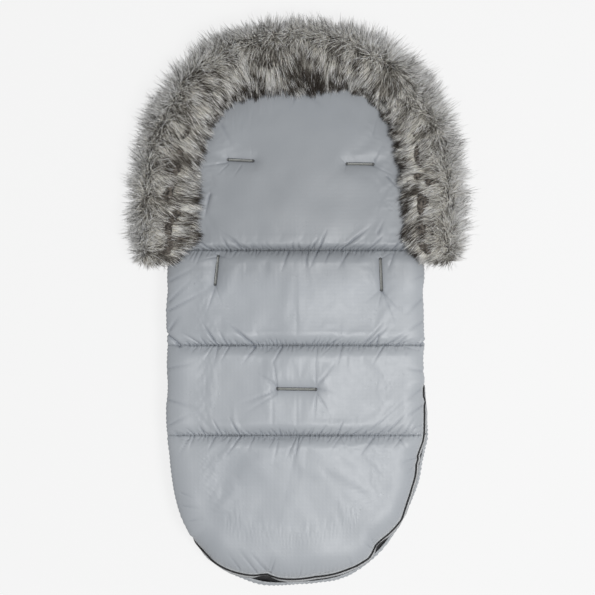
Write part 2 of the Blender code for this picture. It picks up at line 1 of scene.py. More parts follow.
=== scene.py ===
import bpy
import numpy as np
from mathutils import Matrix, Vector


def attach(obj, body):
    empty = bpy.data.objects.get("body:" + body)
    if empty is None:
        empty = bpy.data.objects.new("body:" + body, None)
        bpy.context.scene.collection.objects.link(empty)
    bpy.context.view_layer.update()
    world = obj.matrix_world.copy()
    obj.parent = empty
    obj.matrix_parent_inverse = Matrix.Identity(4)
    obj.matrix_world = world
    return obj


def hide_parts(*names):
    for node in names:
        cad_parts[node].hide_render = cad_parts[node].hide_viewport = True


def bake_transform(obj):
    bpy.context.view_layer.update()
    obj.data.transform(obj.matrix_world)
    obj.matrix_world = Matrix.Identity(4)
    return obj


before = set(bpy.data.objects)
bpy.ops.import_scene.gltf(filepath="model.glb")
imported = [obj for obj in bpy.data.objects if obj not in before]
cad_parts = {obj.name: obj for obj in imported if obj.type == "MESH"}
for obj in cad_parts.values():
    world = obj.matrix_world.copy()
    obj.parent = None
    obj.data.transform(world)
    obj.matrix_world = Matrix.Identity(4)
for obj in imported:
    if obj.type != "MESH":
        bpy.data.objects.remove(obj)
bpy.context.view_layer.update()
random = np.random.default_rng(7)

# Plan of the sack, in metres. The foot leans a little to the left, as it was laid down.
plan = {
    "sackHalf": 0.225, "headHalf": 0.228, "coverTop": 0.062, "headSeam": 0.083,
    "middleSeam": -0.083, "footSeam": -0.2405, "footTip": -0.501, "headBend": 0.150,
    "headTip": 0.4375, "footRoundness": 2.3, "headRoundness": 2.2,
    "footLean": -0.010, "leanFrom": -0.27, "leanOver": 0.22,
}
# How a padded panel is shaped: its rolled edge, its crown and the pinch at its seams
padding = {
    "rollWidth": 0.022, "shoulderWidth": 0.036,
    "backUnder": np.radians((58, 12)),  # the edge's turn: closed, and where the zip shows
    "coverUnder": np.radians((58, 38)),
    "interior": 0.80,  # share of the grid that lies inside the rolled edge
    "pinchReach": 0.026, "pinchPower": 2.7, "rimFade": 0.7,
    "backRimZ": 0.0543, "backRise": 0.0226, "backCrown": 0.0055, "backDip": 0.62,
    "coverRimZ": 0.0277, "coverRise": 0.0235, "coverCrown": 0.0012, "coverDip": 0.30,
    "backInside": 0.0060, "coverInside": 0.0172, "headDrop": 0.028, "dropPower": 1.5,
}


def smooth(t):
    # An eased step from 0 to 1: 3 t^2 - 2 t^3
    t = np.clip(t, 0, 1)
    return t * t * (3 - 2 * t)


def hill(distance, width):
    # A bell: exp(-(distance / width)^2)
    return np.exp(-((distance / width) ** 2))


def unit(vectors):
    return vectors / np.linalg.norm(vectors, axis=-1, keepdims=True)


def newMaterial(name):
    material = bpy.data.materials.new(name)
    material.use_nodes = True
    return material, material.node_tree, material.node_tree.nodes["Principled BSDF"]


def setInputs(tree, node, inputs):
    # Each input takes a plain value, or a link from another node's output
    for key, value in dict(inputs).items():
        if isinstance(value, bpy.types.NodeSocket):
            tree.links.new(value, node.inputs[key])
        else:
            node.inputs[key].default_value = value


def addNode(tree, kind, inputs=(), **settings):
    node = tree.nodes.new("ShaderNode" + kind)
    for key, value in settings.items():
        setattr(node, key, value)
    setInputs(tree, node, inputs)
    return node


def ramp(tree, factor, *stops):
    node = addNode(tree, "ValToRGB", {"Fac": factor})
    for element, (place, colour) in zip(node.color_ramp.elements, stops):
        element.position = place
        element.color = (*colour, 1)
    return node.outputs["Color"]


def remap(tree, value, start, end, low, high, **settings):
    # Carries a value from the range start to end over to the range low to high
    return addNode(tree, "MapRange", {"Value": value, "From Min": start, "From Max": end,
                                      "To Min": low, "To Max": high}, **settings).outputs[0]


def multiplied(tree, first, second):
    return addNode(tree, "Math", {0: first, 1: second}, operation="MULTIPLY").outputs[0]


def objectPlace(tree):
    return addNode(tree, "TexCoord").outputs["Object"]


def objectNoise(tree, scale, detail):
    return addNode(tree, "TexNoise", {"Vector": objectPlace(tree), "Scale": scale,
                                      "Detail": detail}).outputs["Fac"]


def bump(tree, height, strength, depth, **more):
    inputs = {"Height": height, "Strength": strength, "Distance": depth, **more}
    return addNode(tree, "Bump", inputs).outputs[0]


def wovenBump(tree, threadsPerMetre, strength, depth, angle=0.0):
    # Two crossing sets of threads: bands along X times bands along Y
    turned = addNode(tree, "Mapping", {"Vector": objectPlace(tree), "Rotation": (0, 0, angle)})
    bands = [addNode(tree, "TexWave", {"Vector": turned.outputs[0], "Scale": threadsPerMetre / 20,
                                       "Distortion": 0.4},
                     wave_type="BANDS", bands_direction=direction).outputs["Fac"]
             for direction in ("X", "Y")]
    return bump(tree, multiplied(tree, *bands), strength, depth)


nylonLook = {
    # fold is the bluish colour of the shade painted into folds, gathers and round the slots
    "dark": (0.392, 0.418, 0.450), "light": (0.436, 0.461, 0.490), "fold": (0.215, 0.235, 0.275),
    # the hood's two entries paint shade by height: darker from the hood down, a little less dark at
    # its top
    "foldShadeShare": 0.75, "hood": (0.008, 0.062, 1.0, 0.81), "hoodTop": (0.20, 0.36, 0.0, 0.085),
    "roughness": (0.40, 0.52), "weave": (900, 0.16, 0.0003), "crinkle": (0.10, 0.0012),
}


def nylonMaterial():
    material, tree, shader = newMaterial("satin_nylon")
    colour = ramp(tree, objectNoise(tree, 6.0, 3.0),
                  (0.3, nylonLook["dark"]), (0.7, nylonLook["light"]))
    # painted shade: the satin is darkened from the hood down to just below the first
    # cross seam, and a little less so at the hood's top
    y = addNode(tree, "SeparateXYZ", {0: objectPlace(tree)}).outputs["Y"]
    hood = remap(tree, y, *nylonLook["hood"], interpolation_type="SMOOTHSTEP")
    tone = addNode(tree, "Math", {0: hood, 1: remap(tree, y, *nylonLook["hoodTop"])})
    # painted shade: folds, gathers, the cloth round the slots and the tucks at the seams are
    # darkened to a bluish tone
    fold = addNode(tree, "Attribute", attribute_name="creaseShade").outputs["Fac"]
    creaseShaded = addNode(tree, "Mix", {0: multiplied(tree, fold, nylonLook["foldShadeShare"]), 6: colour,
                                   7: (*nylonLook["fold"], 1)}, data_type="RGBA")
    shaded = addNode(tree, "HueSaturation", {"Value": tone.outputs[0], "Color": creaseShaded.outputs[2]})
    weave = wovenBump(tree, *nylonLook["weave"])
    setInputs(tree, shader, {
        "Base Color": shaded.outputs[0],
        "Roughness": remap(tree, objectNoise(tree, 90.0, 2.0), 0, 1, *nylonLook["roughness"]),
        "Normal": bump(tree, objectNoise(tree, 120.0, 3.0), *nylonLook["crinkle"], Normal=weave),
        "Specular IOR Level": 0.55, "Sheen Weight": 0.12, "Sheen Roughness": 0.4,
    })
    return material


def clothMaterial(name, dark, light, scale, roughness, bumpScale, bumpDepth, sheen=0.0):
    # A plain cloth: two tones in a fine noise, with a bump of the same kind
    material, tree, shader = newMaterial(name)
    setInputs(tree, shader, {
        "Base Color": ramp(tree, objectNoise(tree, scale, 4.0), (0.35, dark), (0.65, light)),
        "Normal": bump(tree, objectNoise(tree, bumpScale, 3.0), 0.6, bumpDepth),
        "Roughness": roughness, "Sheen Weight": sheen,
    })
    return material


def tapeMaterial(name, dark, light):
    # Woven tape, with its threads laid at 45 degrees
    material, tree, shader = newMaterial(name)
    setInputs(tree, shader, {
        "Base Color": ramp(tree, objectNoise(tree, 400.0, 2.0), (0.3, dark), (0.7, light)),
        "Normal": wovenBump(tree, 1400, 0.5, 0.0004, np.radians(45)), "Roughness": 0.8,
    })
    return material


def furMaterial(name):
    # The colour of each strand is kept on its points, from root to tip
    material, tree, shader = newMaterial(name)
    shade = addNode(tree, "Attribute", attribute_name="fibreColour")
    setInputs(tree, shader, {"Base Color": shade.outputs["Color"], "Roughness": 0.55,
                             "Specular IOR Level": 0.35})
    return material


def metalMaterial(name, dark, light):
    material, tree, shader = newMaterial(name)
    scuffs = objectNoise(tree, 300.0, 4.0)
    setInputs(tree, shader, {"Base Color": ramp(tree, scuffs, (0.3, dark), (0.75, light)),
                             "Roughness": remap(tree, scuffs, 0, 1, 0.25, 0.5), "Metallic": 1.0})
    return material


# Name, dark and light tone, grain, roughness, the bump's grain and depth, sheen
cloths = {
    "fleece": ("cream_fleece", (0.66, 0.61, 0.50), (0.84, 0.80, 0.70), 260.0, 0.95, 420.0, 0.0016,
               0.4),
    "hem": ("edge_binding", (0.40, 0.42, 0.44), (0.52, 0.54, 0.56), 300.0, 0.6, 900.0, 0.0004),
    "welt": ("slot_edging", (0.05, 0.052, 0.055), (0.13, 0.135, 0.14), 700.0, 0.8, 1600.0, 0.0005),
    "facing": ("slot_facing", (0.43, 0.44, 0.42), (0.54, 0.55, 0.53), 500.0, 0.9, 1200.0, 0.0005),
    "thread": ("sewing_thread", (0.30, 0.32, 0.34), (0.42, 0.44, 0.46), 900.0, 0.6, 2500.0, 0.0002),
    "coil": ("zip_coil", (0.006, 0.006, 0.007), (0.014, 0.014, 0.016), 800.0, 0.50, 1500.0, 0.0002),
    "furBase": ("fur_backing", (0.02, 0.018, 0.016), (0.16, 0.14, 0.12), 220.0, 0.9, 300.0, 0.003),
}
materials = {key: clothMaterial(*look) for key, look in cloths.items()}
materials["nylon"] = nylonMaterial()
materials["tape"] = tapeMaterial("zip_tape", (0.44, 0.45, 0.46), (0.58, 0.59, 0.60))
materials["fur"] = furMaterial("fur_strands")
materials["metal"] = metalMaterial("zip_metal", (0.10, 0.10, 0.105), (0.26, 0.26, 0.27))
print("materials made")


def makePiece(name, points, faceSets, finish):
    # Whole arrays into one mesh. Each set of faces has one row of corner numbers per face
    sizes = np.concatenate([np.full(len(faces), faces.shape[1]) for faces in faceSets])
    corners = np.concatenate([faces.ravel() for faces in faceSets])
    used, corners = np.unique(corners, return_inverse=True)
    mesh = bpy.data.meshes.new(name)
    mesh.vertices.add(len(used))
    mesh.vertices.foreach_set("co", points.reshape(-1, 3)[used].astype(np.float32).ravel())
    mesh.loops.add(len(corners))
    mesh.loops.foreach_set("vertex_index", corners.astype(np.int32).ravel())
    mesh.polygons.add(len(sizes))
    starts = np.concatenate([[0], np.cumsum(sizes)[:-1]])
    mesh.polygons.foreach_set("loop_start", starts.astype(np.int32))
    mesh.polygons.foreach_set("use_smooth", np.ones(len(sizes), bool))
    mesh.update(calc_edges=True)
    mesh.materials.append(materials[finish])
    piece = bpy.data.objects.new(name, mesh)
    bpy.context.scene.collection.objects.link(piece)
    return piece


def meshPoints(mesh):
    points = np.zeros(len(mesh.vertices) * 3)
    mesh.vertices.foreach_get("co", points)
    return points.reshape(-1, 3)


def faceOutwards(piece):
    # Turns a closed mesh's faces outwards, by the sign of its volume
    mesh = piece.data
    mesh.calc_loop_triangles()
    corners = np.zeros(len(mesh.loop_triangles) * 3, np.int32)
    mesh.loop_triangles.foreach_get("vertices", corners)
    a, b, c = meshPoints(mesh)[corners.reshape(-1, 3)].transpose(1, 0, 2)
    if np.einsum("ij,ij->", a, np.cross(b, c)) < 0:
        mesh.flip_normals()
    return piece


def gridQuads(rows, columns, around=False):
    # Corner numbers of a grid's quads; around joins the last column to the first
    index = np.arange(rows * columns).reshape(rows, columns)
    if around:
        index = np.concatenate([index, index[:, :1]], axis=1)
    quads = np.stack([index[:-1, :-1], index[:-1, 1:], index[1:, 1:], index[1:, :-1]], axis=-1)
    return quads.reshape(-1, 4)


def rimLoop(rows, columns):
    # Corner numbers of a grid's rim
    index = np.arange(rows * columns).reshape(rows, columns)
    return np.concatenate([index[0, :-1], index[:-1, -1], index[-1, :0:-1], index[:0:-1, 0]])


def onLine(at, walked, values):
    # The columns of values, read off at lengths walked along a line
    return np.stack([np.interp(at, walked, column) for column in values.T], axis=-1)


def lifted(loop, height):
    # Places in the plan with a height each
    return np.column_stack([loop, np.broadcast_to(height, len(loop))])


def outline(panel, u, v, share):
    # Straight sides, then a superellipse round the end, both drawn in by share
    ring = np.maximum(np.maximum(np.abs(u), v), 1e-9)
    across, onward, power = u / ring, np.clip(v, 0, None) / ring, panel["roundness"]
    bowAcross = (1 - np.abs(across) ** power / 2) ** (1 / power)
    bowOnward = (1 - onward**power / 2) ** (1 / power)
    rounded = panel["straight"] + panel["reach"] * onward * bowAcross * share
    along = np.where(v <= 0, panel["straight"] * (1 + v), rounded)
    return panel["half"] * across * bowOnward * share, panel["base"] + panel["toward"] * along


def lean(y):
    return plan["footLean"] * smooth((plan["leanFrom"] - y) / plan["leanOver"])


def pinch(panel, y, ring):
    # Share of the height that is lost near a quilting seam, less so at the rim
    away = np.min([np.abs(y - seam) for seam in panel["seams"]], axis=0)
    near = np.clip(1 - away / padding["pinchReach"], 0, None) ** padding["pinchPower"]
    return panel["dip"] * near * (1 - padding["rimFade"] * ring**3)


def sunk(panel, y):
    # How far a panel droops at y, as the hood does towards its tip
    length = panel["straight"] + panel["reach"]
    return panel["drop"] * (np.abs(y - panel["base"]) / length) ** padding["dropPower"]


def panelSurface(panel, u, v):
    # Crowned middle, then an edge rolled down and under along an arc, on the grid u by v
    u, v = np.meshgrid(u, v)
    ring = np.maximum(np.abs(u), v)
    shoulder, rise, inside = panel["shoulder"], panel["rise"], ring / padding["interior"]
    edgePlaces = outline(panel, u, v, 1.0)
    pull = panel["pull"](*edgePlaces)
    closed, opened = panel["under"]
    under = closed + (opened - closed) * panel["open"](*edgePlaces)
    turn = np.clip((ring - padding["interior"]) / (1 - padding["interior"]), 0, 1)
    angle = np.pi / 2 - turn * (np.pi / 2 + under)
    inset = pull + np.where(angle > 0, shoulder, padding["rollWidth"]) * (1 - np.cos(angle))
    flat = ring <= padding["interior"]
    share = np.where(flat, inside * (1 - (shoulder + pull) / panel["half"]),
                     1 - inset / panel["half"])
    edge = rise - rise / (1 + np.sin(under)) * (1 - np.sin(angle))
    height = np.where(flat, rise + panel["crown"] * np.clip(1 - inside**2, 0, 1) ** 2, edge)
    x, y = outline(panel, u, v, share)
    height = height * (1 - pinch(panel, y, ring))
    z = panel["rimZ"] + panel["up"] * height - sunk(panel, y)
    return np.stack([x + lean(y), y, z], axis=-1), ring


def surfaceNormals(points, up):
    # Cross product of the two grid directions, turned towards the outer side
    normals = np.cross(np.gradient(points, axis=1), np.gradient(points, axis=0))
    normals /= np.maximum(np.linalg.norm(normals, axis=-1, keepdims=True), 1e-12)
    middle = normals[normals.shape[0] // 2, normals.shape[1] // 2, 2]
    return normals * (1 if middle * up > 0 else -1)


def evenOut(field, passes):
    # Averages a grid with its neighbours along both directions
    for _ in range(passes):
        padded = np.pad(field, 1, mode="edge")
        field = (padded[:-2, 1:-1] + padded[2:, 1:-1] + padded[1:-1, :-2] + padded[1:-1, 2:]
                 + 2 * field) / 6
    return field


clothRun = {
    "step": 4, "frames": 22, "levels": 10, "cap": 0.0050, "share": 0.22, "passes": 3,
    "settings": {
        "quality": 6, "mass": 0.12, "tension_stiffness": 12, "compression_stiffness": 12,
        "shear_stiffness": 4, "bending_stiffness": 0.35, "vertex_group_mass": "held",
        "pin_stiffness": 0.6, "shrink_min": -0.050, "use_pressure": True,
        "uniform_pressure_force": 0.9,
    },
}


def clothWrinkles(name, points, normals, hold):
    # A coarser copy of the skin, a few percent too large for its seams, buckles as cloth does.
    # What it moves along the normals comes back on the fine grid
    rows, columns = (np.unique(np.append(np.arange(0, size, clothRun["step"]), size - 1))
                     for size in hold.shape)
    picked = np.ix_(rows, columns)
    coarse = points[picked]
    cloth = makePiece(name + "_cloth", coarse, [gridQuads(len(rows), len(columns))], "nylon")
    group = cloth.vertex_groups.new(name="held")
    levels = np.round(hold[picked].ravel() * clothRun["levels"]) / clothRun["levels"]
    for level in np.unique(levels[levels > 0]):
        group.add(np.flatnonzero(levels == level).tolist(), float(level), "REPLACE")
    modifier = cloth.modifiers.new("cloth", "CLOTH")
    for key, value in clothRun["settings"].items():
        setattr(modifier.settings, key, value)
    modifier.settings.effector_weights.gravity = 0
    modifier.collision_settings.use_collision = False
    modifier.point_cache.frame_end = clothRun["frames"]
    for number in range(1, clothRun["frames"] + 1):
        bpy.context.scene.frame_set(number)
    graph = bpy.context.evaluated_depsgraph_get()
    moved = meshPoints(cloth.evaluated_get(graph).data)
    bpy.context.scene.frame_set(1)
    bpy.data.objects.remove(cloth)
    away = np.sum((moved.reshape(coarse.shape) - coarse) * normals[picked], axis=-1)
    away = clothRun["cap"] * np.tanh(away / clothRun["cap"])
    fine = np.array([np.interp(np.arange(points.shape[1]), columns, line) for line in away])
    fine = np.array([np.interp(np.arange(points.shape[0]), rows, line) for line in fine.T]).T
    print(name, "cloth moved", round(float(np.abs(fine).max()) * 1000, 1), "mm at most")
    return clothRun["share"] * evenOut(fine, clothRun["passes"])


eye, seenHeight = 3.26, 0.060  # the camera's height, and the height that the plan is seen at
photo = {"pixel": 0.00175, "middle": 297.5}  # metres per pixel, and the picture's middle


def fromPhoto(x, y, z=seenHeight):
    # A place in the photograph, in its pixels, as metres in the plan at a height
    scale = photo["pixel"] * (eye - z) / (eye - seenHeight)
    return (x - photo["middle"]) * scale, (photo["middle"] - y) * scale


crease = {"fade": 1.2, "spread": 0.4, "bankShare": 0.45, "bankWidth": 2.6, "reach": 6}


def creaseField(x, y, creases):
    # Each crease is a valley, deepest at its start, with soft banks, and it widens along it:
    # depth * (1 - t)^fade * (sharp valley - bankShare * wide bell)
    field = np.zeros_like(x)
    for x0, y0, x1, y1, width, depth in creases:
        length = max(np.hypot(x1 - x0, y1 - y0), 1e-4)
        reach = length / 2 + crease["reach"] * width
        near = (np.abs(x - (x0 + x1) / 2) < reach) & (np.abs(y - (y0 + y1) / 2) < reach)
        dx, dy = x[near] - x0, y[near] - y0
        ax, ay = (x1 - x0) / length, (y1 - y0) / length
        along, aside = (dx * ax + dy * ay) / length, dx * ay - dy * ax
        fade = smooth((along * length + 2 * width) / (2 * width))
        fade = fade * np.clip(1 - along, 0, 1) ** crease["fade"]
        spread = width * (1 + crease["spread"] * np.clip(along, 0, 1))
        bank = crease["bankShare"] * hill(aside, crease["bankWidth"] * spread)
        field[near] -= depth * fade * (np.exp(-np.abs(aside) / spread) - bank)
    return field


# Folds that the photograph shows, in its pixels: start, end, width and depth in millimetres
photoFolds = [
    (228, 159, 223, 146, 1.6, 1.6), (227, 163, 197, 168, 2.6, 2.2), (228, 165, 217, 176, 2.0, 1.8),
    (241, 166, 232, 180, 2.2, 1.3), (254, 161, 264, 161, 1.6, 1.5), (252, 158, 251, 142, 1.4, 0.8),
    (210, 196, 204, 222, 4.5, 3.0), (222, 125, 236, 152, 5.0, 1.8), (298, 88, 291, 108, 3.0, 2.6),
    (298, 88, 308, 100, 3.0, 2.4), (304, 92, 326, 108, 5.0, 2.2), (346, 164, 340, 158, 1.4, 1.5),
    (346, 165, 338, 166, 1.4, 1.2), (346, 166, 344, 174, 1.6, 1.6), (346, 163, 349, 154, 1.2, 0.9),
    (373, 166, 400, 179, 2.0, 1.7), (387, 177, 407, 198, 2.4, 2.6), (374, 161, 383, 143, 2.2, 1.8),
    (373, 134, 379, 112, 2.6, 1.7), (378, 232, 385, 217, 4.5, 2.0), (404, 236, 412, 222, 5.0, 2.2),
    (218, 254, 208, 247, 1.8, 1.6), (218, 256, 196, 262, 2.4, 1.7), (216, 286, 222, 302, 2.0, 1.6),
    (171, 281, 196, 267, 3.4, 2.4), (215, 289, 205, 318, 3.0, 1.7), (170, 301, 193, 279, 3.0, 3.0),
    (170, 310, 209, 289, 3.0, 2.8), (170, 329, 181, 314, 3.6, 3.2), (219, 254, 236, 262, 2.4, 1.2),
    (380, 257, 374, 248, 1.6, 1.2), (380, 258, 398, 250, 2.2, 1.4), (381, 292, 377, 308, 2.0, 1.5),
    (382, 292, 402, 312, 3.2, 2.0), (382, 291, 396, 328, 3.0, 1.6), (421, 300, 402, 318, 4.0, 2.4),
    (422, 322, 396, 338, 3.8, 2.0), (380, 290, 362, 304, 2.6, 1.1), (422, 276, 408, 282, 3.4, 1.6),
    (277, 384, 273, 357, 2.4, 1.6), (276, 385, 252, 368, 4.0, 2.4), (276, 390, 236, 405, 3.6, 2.2),
    (276, 393, 243, 414, 3.0, 1.6), (277, 391, 277, 400, 1.4, 1.0), (316, 384, 315, 357, 2.4, 1.6),
    (318, 384, 338, 358, 3.2, 2.2), (318, 389, 328, 390, 1.6, 1.3), (317, 393, 333, 419, 2.8, 1.8),
    (316, 396, 314, 422, 2.6, 1.7), (318, 388, 348, 398, 3.4, 1.4), (170, 368, 196, 362, 4.0, 1.8),
    (170, 400, 200, 408, 4.2, 2.2), (171, 424, 192, 412, 3.4, 1.8), (424, 386, 404, 402, 4.0, 2.6),
    (424, 404, 396, 424, 3.8, 2.8), (425, 372, 402, 366, 4.0, 2.0), (424, 424, 408, 430, 3.0, 2.2),
    (275, 436, 267, 450, 2.4, 2.0), (303, 436, 292, 458, 2.6, 1.8), (278, 441, 273, 464, 3.0, 1.4),
    (254, 437, 247, 451, 2.4, 1.7), (233, 436, 224, 447, 2.0, 1.6), (340, 436, 348, 452, 2.2, 1.5),
    (372, 436, 380, 448, 2.4, 1.6), (398, 437, 410, 452, 3.0, 2.2), (270, 572, 260, 560, 2.0, 2.6),
    (268, 572, 249, 550, 2.6, 2.8), (271, 571, 276, 556, 2.6, 2.4), (258, 573, 237, 546, 3.0, 2.6),
    (240, 569, 226, 548, 3.0, 1.8), (300, 575, 302, 562, 2.2, 1.2), (312, 575, 316, 562, 2.0, 1.0),
    (182, 492, 196, 498, 2.4, 1.5), (184, 505, 202, 508, 2.8, 1.7), (191, 520, 206, 518, 2.4, 1.3),
    (369, 431, 408, 395, 2.6, 1.6), (388, 431, 417, 399, 2.8, 2.2), (397, 431, 409, 416, 2.2, 2.0),
    (405, 432, 420, 410, 2.4, 2.4), (411, 432, 421, 418, 2.0, 2.2), (398, 344, 421, 337, 2.0, 2.0),
    (392, 344, 410, 334, 1.8, 1.8), (402, 346, 421, 351, 1.8, 1.6),
    (376, 551, 362, 540, 2.6, 2.6), (378, 550, 368, 532, 2.8, 1.8), (416, 458, 402, 462, 2.8, 2.2),
    (417, 462, 404, 476, 3.0, 1.6), (398, 526, 386, 520, 2.6, 1.4), (354, 568, 346, 554, 2.6, 1.4),
]
bigFolds = [
    (*fromPhoto(x0, y0), *fromPhoto(x1, y1), 0.8 * width / 1000, 1.5 * depth / 1000)
    for x0, y0, x1, y1, width, depth in photoFolds
]
puckers = {
    "spacing": (0.0040, 0.0100), "length": (0.007, 0.017), "long": 0.044, "share": 0.16,
    "width": 0.0013, "widths": (0.8, 1.4), "depth": (0.0026, 0.0056), "edge": 0.214,
    "above": 1.25, "below": 0.75, "fanOver": 0.05, "leanBelow": -0.45, "scatter": 0.3,
    "growOver": 0.05, "leastDepth": 0.8,
}


def seamPuckers(seam):
    # Short gathers on both sides of a quilting seam, every so often a long one. Above the
    # seam they fan out to the sides, below it most of them lean to the left
    creases = []
    for side, strength in ((-1, puckers["below"]), (1, puckers["above"])):
        x = -puckers["edge"]
        while x < puckers["edge"]:
            x += random.uniform(*puckers["spacing"])
            length = random.uniform(*puckers["length"])
            if random.random() < puckers["share"]:
                length = random.uniform(puckers["length"][1], puckers["long"])
            leaning = np.tanh(x / puckers["fanOver"]) if side > 0 else puckers["leanBelow"]
            tilt = (leaning + random.normal(0, puckers["scatter"])) * length
            grown = length / puckers["growOver"]
            width = puckers["width"] * random.uniform(*puckers["widths"]) * (1 + grown)
            depth = random.uniform(*puckers["depth"]) * (puckers["leastDepth"] + grown)
            creases.append((x, seam, x + tilt, seam + side * length, width, depth * strength))
    return creases


# The harness slots: both ends of their middle lines in the photograph, and the body cut
slots = {
    "shoulder_left": (fromPhoto(228.4, 160.0), fromPhoto(253.2, 161.2), "head_nylon"),
    "shoulder_right": (fromPhoto(347.0, 164.2), fromPhoto(373.0, 164.6), "head_nylon"),
    "waist_left": (fromPhoto(218.6, 256.4), fromPhoto(215.6, 284.6), "upper_nylon"),
    "waist_right": (fromPhoto(380.0, 259.2), fromPhoto(381.3, 290.2), "upper_nylon"),
    "crotch": (fromPhoto(277.6, 388.2), fromPhoto(315.8, 388.9), "middle_nylon"),
}
# How deep and how wide the cloth dips round a slot, and how far it is held flat
slotDraw = {"dip": (0.0032, 0.013), "lip": (0.0030, 0.0050), "held": 0.011}


def slotDistance(x, y, start, end):
    # Distance from the middle line of a slot
    length = np.hypot(end[0] - start[0], end[1] - start[1])
    ax, ay = (end[0] - start[0]) / length, (end[1] - start[1]) / length
    along = np.clip((x - start[0]) * ax + (y - start[1]) * ay, 0, length)
    return np.hypot(x - start[0] - along * ax, y - start[1] - along * ay)


def slotSink(x, y):
    # The cloth is drawn down to each slot's edge and held flat beside it
    sink, hold = np.zeros_like(x), np.zeros_like(x)
    (dip, dipWidth), (lip, lipWidth) = slotDraw["dip"], slotDraw["lip"]
    for start, end, _ in slots.values():
        away = slotDistance(x, y, start, end)
        sink -= dip * hill(away, dipWidth) + lip * np.exp(-away / lipWidth)
        hold = np.maximum(hold, hill(away, slotDraw["held"]))
    return sink, hold


def softNoise(x, y, size, seed):
    # A sum of sines in scattered directions: smooth swells about size across
    draw, waves = np.random.default_rng(seed), 14
    field = np.zeros_like(x)
    for _ in range(waves):
        angle, phase = draw.uniform(0, np.pi), draw.uniform(0, 2 * np.pi)
        pitch = size * draw.uniform(0.7, 1.6)
        field += np.sin(2 * np.pi * (x * np.cos(angle) + y * np.sin(angle)) / pitch + phase)
    return field / waves**0.5


closing = {"shares": (0.985, 0.95, 0.86, 0.7, 0.45, 0.18), "turn": 0.05}


def closeBody(points, innerHeight):
    # A skin's rim is carried inwards in rings to a plain inner face, and closed in the middle
    rows, columns = points.shape[:2]
    loop = rimLoop(rows, columns)
    rim = points.reshape(-1, 3)[loop]
    centre = np.array([0, rim[:, 1].mean(), 0])
    rings = []
    for share in closing["shares"]:
        ring = centre + (rim - centre) * share
        blendIn = smooth((1 - share) / closing["turn"])
        ring[:, 2] = rim[:, 2] * (1 - blendIn) + innerHeight(ring[:, 1]) * blendIn
        rings.append(ring)
    pole = centre.copy()
    pole[2] = innerHeight(pole[1])
    first, count = rows * columns, len(loop)
    last = first + len(rings) * count
    allRings = np.concatenate([loop[None], np.arange(first, last).reshape(-1, count)])
    following = np.roll(allRings, -1, axis=1)
    walls = np.stack([allRings[:-1], allRings[1:], following[1:], following[:-1]], axis=-1)
    fan = np.stack([allRings[-1], np.full(count, last), following[-1]], axis=-1)
    everything = np.concatenate([points.reshape(-1, 3), *rings, pole[None]])
    return everything, [walls.reshape(-1, 4), fan]


def sharesDense(count, start, end):
    # Row places from 0 to 1, closer together where start or end is 1
    t = np.linspace(0, 1, count + 1)
    if start and end:
        return t - 0.6 * np.sin(2 * np.pi * t) / (2 * np.pi)
    return t - 0.5 * np.sin(np.pi * t) / np.pi if start else t


interior, acrossSteps, rolledSteps = padding["interior"], 185, 27
columnHalf = np.concatenate([np.linspace(0, interior, acrossSteps),
                             np.linspace(interior, 1, rolledSteps)[1:]])
columnPlaces = np.concatenate([-columnHalf[:0:-1], columnHalf])


def endRows(inner, rolled):
    # Grid rows of a rounded end: inner ones, then those of the rolled edge
    return np.concatenate([interior * sharesDense(inner, True, False),
                           np.linspace(interior, 1, rolled + 1)[1:]])


# The sack's silhouette and, where the zip shows, the edge of the back panel, as points of
# the photograph from the right side round the foot to the left side
silhouette = (
    (424, 278), (422.8, 290), (423.3, 310), (423.4, 326), (424.9, 342), (423.6, 358),
    (423.5, 374), (424.5, 386), (425.4, 398), (427.0, 412), (427.6, 430), (427.3, 438),
    (425.4, 446), (424.0, 454), (421.9, 462), (420.5, 470), (418.5, 478), (416.2, 486),
    (413.5, 494), (410.5, 502), (407.3, 510), (403.3, 518), (398.6, 526), (393.3, 534),
    (387.7, 542), (380.9, 550), (372.9, 558), (362.6, 566), (349.8, 574), (337, 579),
    (320, 582), (299.4, 583.5), (287, 584.3), (279.5, 584.7), (271.8, 584.5), (264.2, 583.9),
    (256.5, 582.2), (248.9, 579.7), (241.2, 577), (231.6, 573.6), (217.1, 565.6),
    (207.5, 557.8), (201.4, 550), (193.8, 541), (189.6, 534), (185.5, 526), (181.8, 518),
    (177, 502), (172.1, 478), (169.4, 454), (167.5, 438), (166.6, 406), (168.3, 382),
    (167.9, 366), (167.2, 342), (166.3, 326), (165.8, 310), (168.0, 290), (167.5, 278),
)
backEdge = (
    (424.1, 380), (423.4, 383), (421.6, 389), (421.9, 396.8), (423.8, 401.9), (422.8, 405.7),
    (423.2, 414.7), (422.8, 424.2), (422.2, 433.8), (421.2, 441.5), (419.0, 447.8),
    (416.1, 455.5), (416.3, 459.3), (414.5, 463.1), (413.6, 474), (410.5, 486), (406.3, 500),
    (403.4, 508.9), (400.5, 517.9), (394.7, 525), (386.3, 532.6), (381.8, 535.7),
    (377.3, 539.3), (374.2, 542.4), (372.6, 546.4), (371.5, 549.1), (369.7, 552.7),
    (367.1, 556.3), (358.6, 562), (355, 564.3), (342, 569), (330, 571.8), (315, 574.4),
    (299.4, 576.2), (287.1, 576.5), (279.5, 575.9), (271.8, 573.4), (268, 571.4),
    (262.6, 572), (256.5, 573.2), (248.9, 573.2), (241.2, 572), (233.6, 570.1),
    (225.9, 567.1), (218.3, 562.9), (213, 558.6), (209.6, 554.4), (203.2, 547.4),
    (197.4, 542.0), (192.6, 537),
)


def edgePlace(x, y):
    # A number that runs along the outline: 1 and more up the right side, -1 and less up the
    # left side, 0 at the tip of the foot
    reach = plan["footSeam"] - plan["footTip"]
    turn = np.arctan2(x, np.clip(plan["footSeam"] - y, 0, None)) / (np.pi / 2)
    return turn * (1 + np.clip(y - plan["footSeam"], 0, None) / reach)


